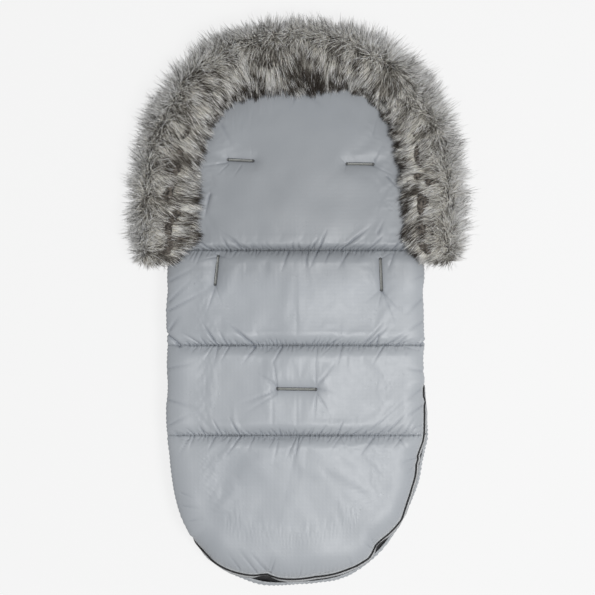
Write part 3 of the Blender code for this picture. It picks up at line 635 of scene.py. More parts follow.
def measured(edge, z=seenHeight):
    # Where the points lie along the plan's outline, and how far inside it
    x, y = fromPhoto(*np.array(edge).T, z)
    x = x - lean(y)
    power, reach = plan["footRoundness"], plan["footSeam"] - plan["footTip"]
    below = np.clip(plan["footSeam"] - y, 0, None) / reach
    share = (np.abs(x / plan["sackHalf"]) ** power + below**power) ** (1 / power)
    places = edgePlace(x, y)
    order = places.argsort()
    return places[order], (plan["sackHalf"] * (1 - share))[order]


pulls = {"shown": 0.0030, "coverShown": 0.0060, "coverTuck": 0.0020, "coverZ": 0.014,
         "headSeam": 0.0030, "headWave": 0.0015, "headFlare": 0.03}
outerEdge, innerEdge = measured(silhouette), measured(backEdge)
coverEdge = measured(silhouette, pulls["coverZ"])
hidden = (outerEdge[0] < innerEdge[0][0]) | (outerEdge[0] > innerEdge[0][-1])
innerEdge = [np.append(inner, outer[hidden]) for inner, outer in zip(innerEdge, outerEdge)]
innerEdge = [values[innerEdge[0].argsort()] for values in innerEdge]


def backPull(x, y):
    return np.interp(edgePlace(x, y), *innerEdge)


def outerPull(x, y):
    return np.interp(edgePlace(x, y), *outerEdge)


def zipShows(x, y):
    # 0 where the edge rolls over the zip, 1 where the zip lies open to view
    return smooth((backPull(x, y) - outerPull(x, y)) / pulls["shown"])


def headPull(x, y):
    flare = smooth((y - plan["headSeam"]) / pulls["headFlare"])
    wave = pulls["headWave"] * np.abs(softNoise(x, y, 0.05, 3)) * flare
    return pulls["headSeam"] * (1 - flare) + wave


def coverPull(x, y):
    # The cover makes the silhouette where the zip shows, and stays under the back elsewhere
    shown = smooth((backPull(x, y) - outerPull(x, y)) / pulls["coverShown"])
    tucked = outerPull(x, y) + pulls["coverTuck"]
    return tucked + (np.interp(edgePlace(x, y), *coverEdge) - tucked) * shown


def never(x, y):
    return 0 * x


def padded(side, half, roundness, base, bend, tip, **more):
    # A panel: its outline in the plan, with straight sides from base to bend and a rounded
    # end to the tip, and the heights of its side
    heights = {key: padding[side + key.capitalize()] for key in ("rise", "crown", "dip", "under")}
    return {"half": half, "roundness": roundness, "base": base, "toward": np.sign(tip - base),
            "straight": abs(bend - base), "reach": abs(tip - bend), "up": 1, "drop": 0,
            "rimZ": padding[side + "RimZ"], "shoulder": padding["shoulderWidth"], **heights, **more}


quilted = (plan["headSeam"], plan["middleSeam"], plan["footSeam"])
back = padded("back", plan["sackHalf"], plan["footRoundness"], plan["headSeam"],
              plan["footSeam"], plan["footTip"], seams=quilted, gathers=0.0005, pull=backPull,
              open=zipShows)
head = padded("back", plan["headHalf"], plan["headRoundness"], plan["headSeam"],
              plan["headBend"], plan["headTip"], seams=quilted[:1], gathers=0.0003,
              pull=headPull, open=never, drop=padding["headDrop"])
cover = padded("cover", plan["sackHalf"], plan["footRoundness"], plan["coverTop"],
               plan["footSeam"], plan["footTip"], seams=quilted[1:], gathers=0.0008,
               pull=coverPull, open=zipShows, up=-1, shoulder=padding["rollWidth"])
seamCreases = {seam: seamPuckers(seam) for seam in back["seams"]}
skins = {}
skinLook = {
    "swell": (0.0009, 0.095), "ripple": (0.0001, 0.034), "gatherPitch": 0.00125,
    "seamHold": 0.004, "rimHold": (0.60, 0.16), "slotQuiet": 0.8,
    "bank": (0.0026, 0.010, 0.0055), "groove": (0.0009, 0.0014),
    "tuck": 0.0009, "tuckPitch": 0.00058, "tuckReach": 0.0030, "tuckStart": 0.0012,
    "foldShade": 0.0026, "slotShade": 0.5, "tuckShade": 0.6, "rimFade": 0.06,
    "seamTurn": 0.005, "gatherBend": 0.06, "gathersFrom": (0.84, 0.08), "tuckBend": 0.05,
}


def nylonBody(name, panel, v, inner, u):
    # One quilted body: the skin with its folds outside, a plain face inside
    points, ring = panelSurface(panel, u, v)
    normals = surfaceNormals(points, panel["up"])
    x, y = points[..., 0], points[..., 1]
    nearSeam = np.min([np.abs(y - seam) for seam in panel["seams"]], axis=0)
    normals[..., 1] *= smooth(nearSeam / skinLook["seamTurn"])
    (swell, swellSize), (ripple, rippleSize) = skinLook["swell"], skinLook["ripple"]
    field = swell * softNoise(x, y, swellSize, 11) + ripple * softNoise(x, y, rippleSize, 12)
    # fine gathers round the edge, square to it
    bend, pitch = 2 * softNoise(x, y, skinLook["gatherBend"], 21), skinLook["gatherPitch"]
    acrossEdge = np.sin(y / pitch + bend) * normals[..., 0] ** 2
    alongEdge = np.sin(x / pitch + bend) * normals[..., 1] ** 2
    start, over = skinLook["gathersFrom"]
    field += panel["gathers"] * (acrossEdge + alongEdge) * smooth((ring - start) / over)
    shade = np.zeros_like(x)
    if panel["up"] > 0:
        sink, slotHold = slotSink(x, y)
        start, over = skinLook["rimHold"]
        hold = np.clip(np.maximum(hill(nearSeam, skinLook["seamHold"]), slotHold), 0, 1)
        hold = np.maximum(hold, smooth((ring - start) / over))
        hold[0], hold[-1] = 1, 1
        field += clothWrinkles(name, points, normals, hold)
        field *= 1 - skinLook["slotQuiet"] * slotHold
        if panel is head:
            # the gathers push up a low bank just above the seam
            bank, above, width = skinLook["bank"]
            field += bank * hill(y - plan["headSeam"] - above, width)
        groove, grooveWidth = skinLook["groove"]
        creases = sum([seamCreases[seam] for seam in panel["seams"]], []) + bigFolds
        folds = creaseField(x, y, creases)
        field += folds + sink - groove * hill(nearSeam, grooveWidth)
        # small tucks at the stitches
        wander = 4 * softNoise(x, 0 * y, skinLook["tuckBend"], 22)
        tucks = np.sin(x / skinLook["tuckPitch"] + wander)
        beside = np.exp(-nearSeam / skinLook["tuckReach"])
        beside = beside * smooth(nearSeam / skinLook["tuckStart"])
        field += skinLook["tuck"] * tucks * beside
        # painted shade, kept as creaseShade: darker in the valleys of the folds, round the slots
        # and on the tucks at the stitches
        shade = np.clip(-folds / skinLook["foldShade"] + skinLook["slotShade"] * slotHold**4
                        - skinLook["tuckShade"] * tucks * beside, 0, 1)
    points = points + normals * (field * smooth((1 - ring) / skinLook["rimFade"]))[..., None]
    everything, walls = closeBody(points, inner)
    piece = makePiece(name, everything, [gridQuads(*points.shape[:2]), *walls], "nylon")
    values = np.zeros(len(piece.data.vertices), np.float32)
    values[:shade.size] = shade.ravel()
    piece.data.attributes.new("creaseShade", "FLOAT", "POINT").data.foreach_set("value", values)
    skins[name] = points
    return faceOutwards(piece)


def backInner(y):
    return padding["backRimZ"] + padding["backInside"] + 0 * y


def headInner(y):
    return backInner(y) - sunk(head, y)


def coverInner(y):
    return padding["coverInside"] + 0 * y


def rowsAt(panel, y):
    # Grid rows of a straight stretch, at these places
    return np.abs(y - panel["base"]) / panel["straight"] - 1


def rowsBetween(panel, start, end, count, denseStart, denseEnd):
    start, end = plan[start], plan[end]
    return rowsAt(panel, start + (end - start) * sharesDense(count, denseStart, denseEnd))


headRows = rowsBetween(head, "headSeam", "headBend", 40, True, False)
coverRows = [rowsBetween(cover, "coverTop", "middleSeam", 64, False, True)[:-1],
             rowsBetween(cover, "middleSeam", "footSeam", 70, True, True)]
backRows = [rowsBetween(back, "headSeam", "middleSeam", 104, True, True),
            rowsBetween(back, "middleSeam", "footSeam", 100, True, True)]
bodies = {
    name: nylonBody(name, panel, v, inner, columnPlaces[::2] if panel is cover else columnPlaces)
    for name, panel, v, inner in (
        ("head_nylon", head, np.concatenate([headRows[:-1], endRows(110, 14)]), headInner),
        ("upper_nylon", back, backRows[0], backInner),
        ("middle_nylon", back, backRows[1], backInner),
        ("foot_nylon", back, endRows(120, 24), backInner),
        ("cover_nylon", cover, np.concatenate(coverRows), coverInner),
        ("foot_cover_nylon", cover, endRows(80, 20), coverInner),
    )
}
print("nylon skins made")


def edgeLine(panel, endY, step=0.002):
    # The plan's outline from the right end round to the left end, in even steps:
    # places, outward directions and the length walked so far
    sideCount, endCount = 3000, 2000
    down, over = np.linspace(rowsAt(panel, endY), 1, sideCount), np.linspace(1, -1, endCount)
    u = np.concatenate([np.ones(sideCount), over, -np.ones(sideCount)])
    v = np.concatenate([down, np.ones(endCount), down[::-1]])
    dense = np.stack(outline(panel, u, v, 1.0), axis=-1)
    walked = np.append(0, np.cumsum(np.hypot(*np.diff(dense, axis=0).T)))
    even = np.linspace(0, walked[-1], int(walked[-1] / step) + 1)
    line = onLine(even, walked, dense)
    along = unit(np.gradient(line, axis=0))
    outward = np.stack([-along[:, 1], along[:, 0]], axis=-1) * -panel["toward"]
    return line, outward, even


def carried(name, line, outward, insets, heights, finish):
    # A closed profile carried along a line: insets and heights have a row per station
    flat = line[:, None] - outward[:, None] * insets[..., None]
    x, y = flat[..., 0], flat[..., 1]
    points = np.stack([x + lean(y), y, heights], axis=-1)
    rows, columns = insets.shape
    caps = np.stack([np.arange(columns)[::-1], np.arange(columns) + (rows - 1) * columns])
    quads = gridQuads(rows, columns, around=True)
    return faceOutwards(makePiece(name, points, [quads, caps], finish))


def repeated(name, shape, faces, places, axes, finish):
    # One small shape set at many places; axes holds the three directions at each place
    points = places[:, None] + np.einsum("ki,nij->nkj", shape, axes)
    corners = [(face[None] + np.arange(len(places))[:, None, None] * len(shape)).reshape(
        -1, face.shape[1]) for face in faces]
    return makePiece(name, points, corners, finish)


def grain(half, radius, endRadius, shoulder, sides):
    # A short bar along X: three rings, the outer two thinner and at the shoulder's share of
    # the half length, closed by a point at both ends
    angle = np.arange(sides) / sides * 2 * np.pi
    rings = [np.stack([np.full(sides, x), r * np.cos(angle), r * np.sin(angle)], axis=-1)
             for x, r in ((-half * shoulder, endRadius), (0, radius), (half * shoulder, endRadius))]
    shape = np.concatenate([*rings, [[-half, 0, 0], [half, 0, 0]]])
    quads = gridQuads(len(rings), sides, around=True)[:, ::-1]
    last, loop = (len(rings) - 1) * sides, np.arange(sides)
    tail = np.stack([loop, np.roll(loop, -1), np.full(sides, len(shape) - 2)], axis=-1)
    tip = np.stack([last + np.roll(loop, -1), last + loop, np.full(sides, len(shape) - 1)], axis=-1)
    return shape, [quads, np.concatenate([tail, tip])]


def declare(piece, body, slotName, *nodes):
    # A piece's body and slot, and the CAD nodes that it stands for; the slot is not used
    if nodes:
        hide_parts(*nodes)
    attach(piece, body)


# Bands of the zip: lower and upper edge, thickness, bulge and finish
bands = {
    "backHem": (0.0500, 0.0540, 0.0030, 0.0007, "hem"),
    # the back's tape takes the coil's black as painted shadow in the gap beside the back's edge
    "backTape": (0.0390, 0.0502, 0.0009, 0, "coil"),
    "coverTape": (0.0322, 0.0388, 0.0009, 0, "tape"),
    # the fold is black: partly the zip's dark lower tape, partly painted shadow of the hollow
    # between the cover's tape and its hem
    "fold": (0.0296, 0.0326, 0.0008, 0, "coil"),
    "coverHem": (0.0279, 0.0318, 0.0026, 0.0007, "hem"),
}
zipLook = {
    "endY": 0.061, "teeth": (0.0392, 0.0430), "pitch": 0.0021, "toothLength": 0.0036,
    "toothWidth": 0.0009, "halvesApart": 0.0005, "toothOut": 0.0004, "endGap": 0.004,
    "wave": (0.0005, 0.017, 0.05), "hemOut": 0.0006, "seenAt": 0.058, "spareFrom": 0.0120,
    "bunch": (0.6, 0.0066), "inside": 0.0004, "behindCover": 0.0010, "foldDeep": 0.0006,
    "toothWaist": 1.05, "toothEnd": 0.9, "toothShoulder": 0.75,
}
# Heights on the zip, and how much further out than the back's rim it runs there when open
zipSlope = np.array([(0.0279, 10.2), (0.0322, 8.4), (0.0388, 5.4), (0.0392, 5.1), (0.0430, 1.0),
                     (0.0502, 0.1), (0.0540, 0.0)]) / (1, 1000)
zipLine, zipOut, zipWalked = edgeLine(back, zipLook["endY"])
zipOpen, zipOuter = zipShows(*zipLine.T), coverPull(*zipLine.T)


def rimInset(panel):
    # How far inside the plan's outline a panel's rolled edge ends
    under = panel["under"][0] + (panel["under"][1] - panel["under"][0]) * zipOpen
    return panel["pull"](*zipLine.T) + padding["rollWidth"] * (1 - np.cos(under))


backRim, coverRim = rimInset(back), rimInset(cover)
waveHeight, waveOver, swayOver = zipLook["wave"]
zipWave = waveHeight * np.sin(zipWalked / waveOver + 2 * np.sin(zipWalked / swayOver)) * zipOpen


def zipInset(height, hem=False):
    # The cover's hem stays by the cover, and a gap opens between it and the tape where the
    # zip buckles away from it
    if hem:
        return coverRim - zipLook["hemOut"]
    # seen from above, low parts lie further out, and the tape bunches up where the gap is wide
    lower = (zipLook["seenAt"] - height) / eye * np.sum(zipLine * zipOut, axis=1)
    gap = backPull(*zipLine.T) - outerPull(*zipLine.T)
    bunch, over = zipLook["bunch"]
    lower = lower - bunch * np.clip(gap - zipLook["spareFrom"], 0, None) * np.clip(
        (bands["coverTape"][1] - height) / over, 0, 1)
    out = zipOpen * (np.interp(height, *zipSlope.T) + lower)
    return np.maximum(backRim + zipLook["inside"] - out + zipWave,
                      zipOuter + zipLook["behindCover"])


def strip(name, band, where, hem=False, deep=0.0):
    # A flat band that stands on edge along the zip, a little round on its outer side. A deep
    # one leads from the tape's foot in to the hem
    low, high, thickness, bulge, finish = bands[band]
    places = ((0, 1, 0), (0.5, 1, bulge), (1, 1, 0), (1, 0, 0), (0.5, 0, -bulge / 3), (0, 0, 0))
    heights = np.array([low + (high - low) * share for share, _, _ in places])
    rows, across = np.flatnonzero(where), []
    for height, (_, outside, swell) in zip(heights, places):
        inset = zipInset(height, hem)
        if deep:
            inset = (np.interp(height, (low, high), (0, 1)) * zipInset(high)
                     + np.interp(height, (low, high), (1, 0)) * zipInset(low, True) + deep)
        across.append(inset[rows] - (thickness / 2 if outside else -thickness / 2) - swell)
    insets = np.stack(across, axis=-1)
    return carried(name, zipLine[rows], zipOut[rows], insets,
                   np.broadcast_to(heights, insets.shape), finish)


def teeth(name, where, side):
    # Small moulded teeth, every second one on the other half of the zip
    (low, high), pitch, gap = zipLook["teeth"], zipLook["pitch"], zipLook["endGap"]
    height = (low + high) / 2 + side * zipLook["halvesApart"]
    inset = zipInset(height) - zipLook["toothOut"]
    slope = (zipInset(high) - zipInset(low)) / (high - low)
    walked = np.arange(zipWalked[0] + gap + (side > 0) * pitch / 2, zipWalked[-1] - gap, pitch)
    walked = walked[np.interp(walked, zipWalked, where.astype(float)) > 0.99]
    flat = zipLine - zipOut * inset[:, None]
    flat[:, 0] += lean(flat[:, 1])
    out = unit(lifted(onLine(walked, zipWalked, zipOut), 0))
    up = unit(-out * np.interp(walked, zipWalked, slope)[:, None] + (0, 0, 1))
    along = unit(np.cross(up, out))
    axes = np.stack([up, np.cross(along, up), along], axis=1)
    width = zipLook["toothWidth"]
    shape, faces = grain(zipLook["toothLength"] / 2, width * zipLook["toothWaist"],
                         width * zipLook["toothEnd"], zipLook["toothShoulder"], 6)
    place = lifted(onLine(walked, zipWalked, flat), height)
    return repeated(name, shape, faces, place, axes, "coil")


def stretch(lowY, highY, side=0):
    # Which stations of the zip lie between two places, on one side or on both
    inside = (zipLine[:, 1] <= highY) & (zipLine[:, 1] >= lowY)
    return inside & (zipLine[:, 0] * side >= 0) if side else inside


everywhere, foldY, gap = np.ones(len(zipLine), bool), plan["footSeam"], 0.0003
declare(strip("back_hem", "backHem", everywhere), "back", "binding", "back_edge_binding")
declare(strip("back_tape", "backTape", everywhere), "back", "zip_tape", "back_zip_tape")
declare(teeth("back_teeth", everywhere, 1), "back", "zip_coil", "back_zip_coil")
for ending, body, where, node in (
    ("left", "cover_flap", stretch(foldY + gap, 1, -1), "cover_{}_left"),
    ("foot", "back", stretch(-1, foldY - gap), "foot_{}"),
    ("right", "cover_flap", stretch(foldY + gap, 1, 1), "cover_{}_right"),
):
    declare(strip("cover_hem_" + ending, "coverHem", where, hem=True), body, "binding",
            node.format("edge_binding"))
    # the fold strip from the tape's foot in to the hem is black, partly the zip's dark tape and
    # partly painted shadow
    declare(strip("cover_fold_" + ending, "fold", where, deep=zipLook["foldDeep"]), body,
            "zip_tape")
    declare(strip("cover_tape_" + ending, "coverTape", where), body, "zip_tape",
            node.format("zip_tape"))
    declare(teeth("cover_teeth_" + ending, where, -1), body, "zip_coil", node.format("zip_coil"))
print("zip made,", len(zipLine), "stations")

lining = {
    "columns": 141, "thickness": 0.0014, "inset": 0.0145, "openInset": -0.0060, "least": 0.0100,
    "backLow": 0.0547, "backRise": 0.0024, "coverLow": 0.0184, "coverEdge": 0.0080,
    "edgeShare": 0.09, "nap": 0.00035, "napSize": 0.006,
}


def liningSheet(name, panel, v):
    # One cut sheet of fleece. Inside the back it domes up from its edge, inside the cover
    # it dips down from it; its face has a fine nap
    u, v = np.meshgrid(np.linspace(-1, 1, lining["columns"]), v)
    ring = np.maximum(np.abs(u), v)
    edgePlaces = outline(panel, u, v, 1.0)
    inset = lining["inset"] + lining["openInset"] * panel["open"](*edgePlaces)
    inset = np.maximum(inset + panel["pull"](*edgePlaces), lining["least"])
    x, y = outline(panel, u, v, ring * (1 - inset / panel["half"]))
    middle = smooth((1 - ring) / lining["edgeShare"])
    if panel["up"] > 0:
        z = lining["backLow"] + lining["backRise"] * middle - sunk(panel, y)
    else:
        z = lining["coverLow"] + lining["coverEdge"] * (1 - middle)
    z = z + lining["nap"] * softNoise(x, y, lining["napSize"], 51) * middle
    points = np.stack([x + lean(y), y, z], axis=-1)
    edges = np.cross(np.diff(points, axis=0)[:, :-1], np.diff(points, axis=1)[:-1])
    area = float(np.linalg.norm(edges, axis=-1).sum())
    both = np.stack([points, points + (0, 0, lining["thickness"])])
    quads, loop = gridQuads(*x.shape), rimLoop(*x.shape)
    following = np.roll(loop, -1)
    wall = np.stack([loop, loop + x.size, following + x.size, following], axis=-1)
    piece = makePiece(name, both, [quads[:, ::-1], quads + x.size, wall[:, ::-1]], "fleece")
    over = np.linalg.norm(np.diff(points, axis=1), axis=-1).sum(axis=1).max()
    down = np.linalg.norm(np.diff(points, axis=0), axis=-1).sum(axis=0).max()
    return faceOutwards(piece), (round(float(over), 3), round(float(down), 3)), area


def liningRows(panel, start, end, count, endCount):
    # Rows of the straight stretch, then those of the rounded end
    return np.concatenate([rowsAt(panel, np.linspace(start, end, count))[:-1],
                           np.linspace(0, 1, endCount)])


# Each lining's sheet, CAD node and the nylon piece that it rests on
linings = {
    part + "_lining_sheet": (*liningSheet(part + "_lining_sheet", panel, v), part + "_lining",
                             under)
    for part, panel, v, under in (
        ("back", back, liningRows(back, 0.0825, plan["footSeam"], 110, 81), "upper_nylon"),
        ("head", head, liningRows(head, 0.0835, plan["headBend"], 24, 91), "head_nylon"),
        ("cover", cover, rowsAt(cover, np.linspace(0.0615, plan["footSeam"] + 0.0003, 100)),
         "cover_nylon"),
        ("foot", cover, np.linspace(0.0012, 1, 81), "foot_cover_nylon"),
    )
}
print("linings made")

slotLook = {
    "hole": 0.0020, "welt": 0.0021, "weltRadius": 0.0006, "weltLift": 0.4, "weltSides": 8,
    "lipTop": 0.0016, "lipGap": 0.0003, "lipDepth": 0.0016, "tackHalf": 0.0036,
    "tackRadius": 0.0009, "tackLift": 0.4, "arc": 14, "straight": 15, "outerSide": 0.02,
    "cutFrom": -0.02, "cutTo": 0.13, "even": 9,
}


def stadium(start, end, radius):
    # A loop at a fixed distance from a slot's middle line: two half circles joined by lines
    middle, half = (np.array(start) + end) / 2, (np.array(end) - start) / 2
    length = np.hypot(*half)
    angle = np.linspace(-np.pi / 2, np.pi / 2, slotLook["arc"])
    side = np.linspace(1, -1, slotLook["straight"] + 2)[1:-1] * length
    level = np.full(slotLook["straight"], radius)
    long = np.concatenate([length + radius * np.cos(angle), side,
                           -length - radius * np.cos(angle), -side])
    short = np.concatenate([radius * np.sin(angle), level, -radius * np.sin(angle), -level])
    along = half / length
    return middle + long[:, None] * along + short[:, None] * np.array([-along[1], along[0]])


def ringBody(name, loops, finish):
    # Loops joined each to the next and the last to the first: a closed ring
    loops = np.array([*loops, loops[0]])
    count, size = loops.shape[:2]
    quads = gridQuads(count, size, around=True)
    quads = np.where(quads >= (count - 1) * size, quads - (count - 1) * size, quads)
    return faceOutwards(makePiece(name, loops, [quads], finish))


def skinHeight(skin, places):
    # The height of the nearest point of a skin's outer side
    points = skin[::2, ::2].reshape(-1, 3)
    points = points[points[:, 2] > points[:, 2].mean() - slotLook["outerSide"]]
    away = np.hypot(*(places[:, None] - points[None, :, :2]).transpose(2, 0, 1))
    return points[away.argmin(axis=1), 2]


def cut(piece, cutter):
    modifier = piece.modifiers.new("slots", "BOOLEAN")
    modifier.operation, modifier.solver, modifier.object = "DIFFERENCE", "MANIFOLD", cutter
    evaluated = piece.evaluated_get(bpy.context.evaluated_depsgraph_get())
    mesh = bpy.data.meshes.new_from_object(evaluated)
    piece.modifiers.clear()
    piece.data = mesh


cutters, slotPieces = {}, {}
for name, (start, end, skinName) in slots.items():
    hole, skin = stadium(start, end, slotLook["hole"]), skins[skinName]
    prism = np.stack([lifted(hole, slotLook["cutFrom"]), lifted(hole, slotLook["cutTo"])])
    caps = np.stack([np.arange(len(hole))[::-1], np.arange(len(hole)) + len(hole)])
    cutters[name] = faceOutwards(makePiece(
        name + "_cutter", prism, [gridQuads(2, len(hole), around=True), caps], "nylon"))
    surface = skinHeight(skin, stadium(start, end, slotLook["welt"]))
    even = slotLook["even"]
    surface = np.convolve(np.pad(surface, even // 2, mode="wrap"), np.ones(even) / even,
                          mode="valid")
    bottom = lining["backLow"] - sunk(head if "shoulder" in name else back, np.array(start[1]))
    turn = np.arange(slotLook["weltSides"]) / slotLook["weltSides"] * 2 * np.pi
    radius = slotLook["weltRadius"]
    welt = [lifted(stadium(start, end, slotLook["welt"] + radius * np.cos(a)),
                   surface + radius * (slotLook["weltLift"] + np.sin(a))) for a in turn]
    # the facing runs from under the edge down through the wadding and back up
    top, depth, opening = slotLook["lipTop"], slotLook["lipDepth"], slotLook["lipGap"]
    lips = [(top, surface - 0.0002), (top * 0.7, surface - 0.0012), (opening, surface - depth),
            (opening, bottom - 0.0002), (opening + 0.0008, bottom - 0.0002),
            (opening + 0.0009, surface - depth - 0.0005), (top + 0.0004, surface - 0.0014)]
    facing = [lifted(stadium(start, end, radius), height) for radius, height in lips]
    # a bar of stitches across both ends
    ends, radius = np.array([start, end]), slotLook["tackRadius"]
    along = (ends[1] - ends[0]) / np.hypot(*(ends[1] - ends[0]))
    axes = np.array([[(-along[1], along[0], 0), (along[0], along[1], 0), (0, 0, 1)]] * 2)
    bar = grain(slotLook["tackHalf"], radius, radius * 0.8, 0.85, 8)
    tacks = repeated(name + "_slot_tacks", *bar,
                     lifted(ends, skinHeight(skin, ends) + radius * slotLook["tackLift"]), axes,
                     "welt")
    slotPieces[name] = (ringBody(name + "_slot_edge", welt, "welt"),
                        ringBody(name + "_slot_facing", facing, "facing"), tacks)
for name, (_, _, skinName) in slots.items():
    cut(bodies[skinName], cutters[name])
    sheet = "head_lining_sheet" if "shoulder" in name else "back_lining_sheet"
    cut(linings[sheet][0], cutters[name])
for name, (edge, facing, tacks) in slotPieces.items():
    bpy.data.objects.remove(cutters[name])
    strap, _, side = name.partition("_")
    body = "head_section" if strap == "shoulder" else "back"
    declare(edge, body, "binding", "_".join([strap, "slot_binding", side]).strip("_"))
    declare(facing, body, "fleece")
    declare(tacks, body, "binding")
print("slots cut")

stitching = {"pitch": 0.0036, "length": 0.0027, "radius": 0.00042, "sink": 0.0001,
             "ahead": 0.001, "seenShare": 0.985, "seenDepth": 0.016}


def stitches(name, line):
    # Short rounded stitches, laid end to end along a line of points
    walked = np.append(0, np.cumsum(np.linalg.norm(np.diff(line, axis=0), axis=1)))
    middles = np.arange(stitching["pitch"], walked[-1] - stitching["pitch"], stitching["pitch"])
    place = onLine(middles, walked, line)
    ahead = unit(onLine(middles + stitching["ahead"], walked, line) - place)
    side = unit(np.cross((0, 0, 1.0), ahead))
    axes = np.stack([ahead, side, np.cross(ahead, side)], axis=1)
    radius = stitching["radius"]
    shape, faces = grain(stitching["length"] / 2, radius, radius * 0.8, 0.8, 6)
    return repeated(name, shape, faces, place, axes, "thread")


def seamLine(skin, row):
    # The part of a skin's seam row that is seen from above
    line = skin[row]
    reach = stitching["seenShare"] * np.abs(line[:, 0]).max()
    seen = np.abs(line[:, 0] - line[:, 0].mean()) < reach
    top = line[:, 2] > line[:, 2].max() - stitching["seenDepth"]
    return line[seen & top] + (0, 0, -stitching["sink"])


seams = {
    name: stitches(name, seamLine(skins[skinName], row))
    for name, skinName, row in (("head_seam_stitches", "upper_nylon", 0),
                                ("middle_seam_stitches", "upper_nylon", -1),
                                ("foot_seam_stitches", "middle_nylon", -1))
}
coverHem = {"half": 0.203, "y": 0.0640, "stations": 204, "sides": 12, "thick": 0.0015,
            "middle": 0.0140, "tall": 0.0050, "power": 0.6, "wave": (0.0004, 0.0042)}


def boxy(values):
    return np.sign(values) * np.abs(values) ** coverHem["power"]


stations, (hemWave, hemPitch) = coverHem["stations"], coverHem["wave"]
hemX = np.linspace(-coverHem["half"], coverHem["half"], stations)
hemAngle = np.arange(coverHem["sides"]) / coverHem["sides"] * 2 * np.pi
hemWave = hemWave * np.sin(hemX / hemPitch)[:, None]
hemInsets = coverHem["thick"] * boxy(np.cos(hemAngle)) + 0 * hemWave
hemHeights = coverHem["middle"] + coverHem["tall"] * boxy(np.sin(hemAngle)) + hemWave
declare(carried("cover_top_edge", lifted(hemX, coverHem["y"]), np.tile([0.0, 1.0], (stations, 1)),
                hemInsets, hemHeights, "hem"), "cover_flap", "binding", "cover_top_hem")

# The head section folds on the sack along the top cross seam; the pieces that lie across it keep
# their places, and the others join their bodies
for sheet, size, area, node, under in linings.values():
    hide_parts(node)
for piece in (linings["head_lining_sheet"][0], linings["back_lining_sheet"][0],
              bodies["head_nylon"], bodies["upper_nylon"], seams["head_seam_stitches"]):
    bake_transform(piece)
for piece, body in ((linings["cover_lining_sheet"][0], "cover_flap"),
                    (linings["foot_lining_sheet"][0], "back"), (bodies["middle_nylon"], "back"),
                    (bodies["foot_nylon"], "back"), (bodies["cover_nylon"], "cover_flap"),
                    (bodies["foot_cover_nylon"], "back"), (seams["middle_seam_stitches"], "back"),
                    (seams["foot_seam_stitches"], "back")):
    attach(piece, body)
for name, part in (("head_nylon", "head"), ("upper_nylon", "back"), ("cover_nylon", "cover"),
                   ("foot_cover_nylon", "foot")):
    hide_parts(part + "_shell", part + "_wadding")
print("seams stitched")

# The sliders, their pulls and the end stops keep their CAD shapes, with softened edges
for name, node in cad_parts.items():
    if name.startswith(("zip_slider", "zip_pull")) or "zip_stop" in name:
        node.data.materials.clear()
        node.data.materials.append(materials["metal"])
        bevel = node.modifiers.new("edges", "BEVEL")
        bevel.width, bevel.segments, bevel.limit_method = 0.00025, 2, "ANGLE"
print("metal parts finished")


# The hood's fur trim: a stuffed roll wrapped round the edge, under a long two-tone pile
furTrim = {
    "lineHalf": 0.243, "endY": 0.064, "lineReach": 0.438, "step": 0.004, "middle": 0.045,
    "lumps": (0.0030, 0.03), "bottom": 0.0015, "endDraw": (0.045, 0.25), "endRound": (0.012, 0.5),
    "strands": 58800, "groups": 6, "length": (0.031, 0.053), "rootWidth": 0.00087,
    "widths": (0.8, 1.0, 0.62), "clump": 0.0075, "gather": 0.44, "gathers": (0.55, 1.15),
    "tilt": 0.34, "stray": 0.17, "curl": 0.08, "sag": 0.12, "flatten": 0.55, "crest": 0.38,
    "crestSpread": 0.030, "outside": 0.66, "ground": (0.0012, 0.004),
    "ceiling": (0.082, 0.35),  # above this height the pile is pressed down to a share
    # by how far round the roll from its inner edge: the pile's density and its length
    "density": ((0, 0.38, 0.46, 0.6, 0.75, 1), (1.25, 1.2, 0.48, 0.34, 0.20, 0.12)),
    "lengths": ((0, 0.06, 0.16, 0.36), (0.62, 0.78, 0.92, 0.85)),
    "steps": (0, 0.36, 0.72, 1.0),  # places of the points along a strand
    # the inner flap's narrowing at the corners, on the right, at both, and its widening on top
    "narrower": (0.30, 0.16, 0.10, 0.30), "flapFrom": -0.02, "endFrom": -0.008,
    "rightOver": 0.1, "topOver": 0.3, "dropPlace": 0.97,
    # sway of the pile: share of the tilt, and how wide its swells are
    "sways": ((1.0, 0.13), (0.6, 0.030), (0.7, 0.10)), "crestSwells": (0.09, 0.017),
    "crestOver": 0.11, "lying": (0.36, 0.34), "lowerFrom": (0.40, 0.2), "strayOnTop": 1.2,
    "endReach": 0.035, "footwards": (0.25, 0.34, 0.16), "endShorter": 0.40,
    # the fringe: where it starts, its even spread and its loss, and its gain at the sides, at
    # the corners and on the right
    "fringeFrom": (0.02, 0.08), "fringe": (0.62, 1.6, 0.60), "fringeGain": (0.16, 0.24, 0.10),
    # the inside: its loss at the corners, on the right, at both, and its gain on top
    "inside": (0.28, 0.12, 0.15, 0.04), "insideTo": (0.28, 0.15),
    "tuftPull": (0.35, 0.65, 1.3), "spots": (0.45, 0.030),
}
# Points of the roll's cross-section: out from its middle line, height, and how much of the
# hood's droop each one follows
rollSection = np.array([
    (-0.052, 0.0815, 0.95), (-0.042, 0.0850, 0.6), (-0.026, 0.0860, 0.35), (-0.010, 0.0835, 0.3),
    (0.010, 0.0785, 0.2), (0.026, 0.0675, 0.1), (0.032, 0.0480, 0), (0.028, 0.0270, 0),
    (0.010, 0.0125, 0), (-0.012, 0.0070, 0), (-0.028, 0.0080, 0), (-0.036, 0.0120, 0),
    (-0.030, 0.0160, 0), (-0.016, 0.0180, 0), (-0.006, 0.0280, 0.1), (-0.005, 0.0420, 0.4),
    (-0.007, 0.0560, 0.7), (-0.012, 0.0680, 0.9), (-0.022, 0.0765, 1.0), (-0.040, 0.0785, 1.0),
])


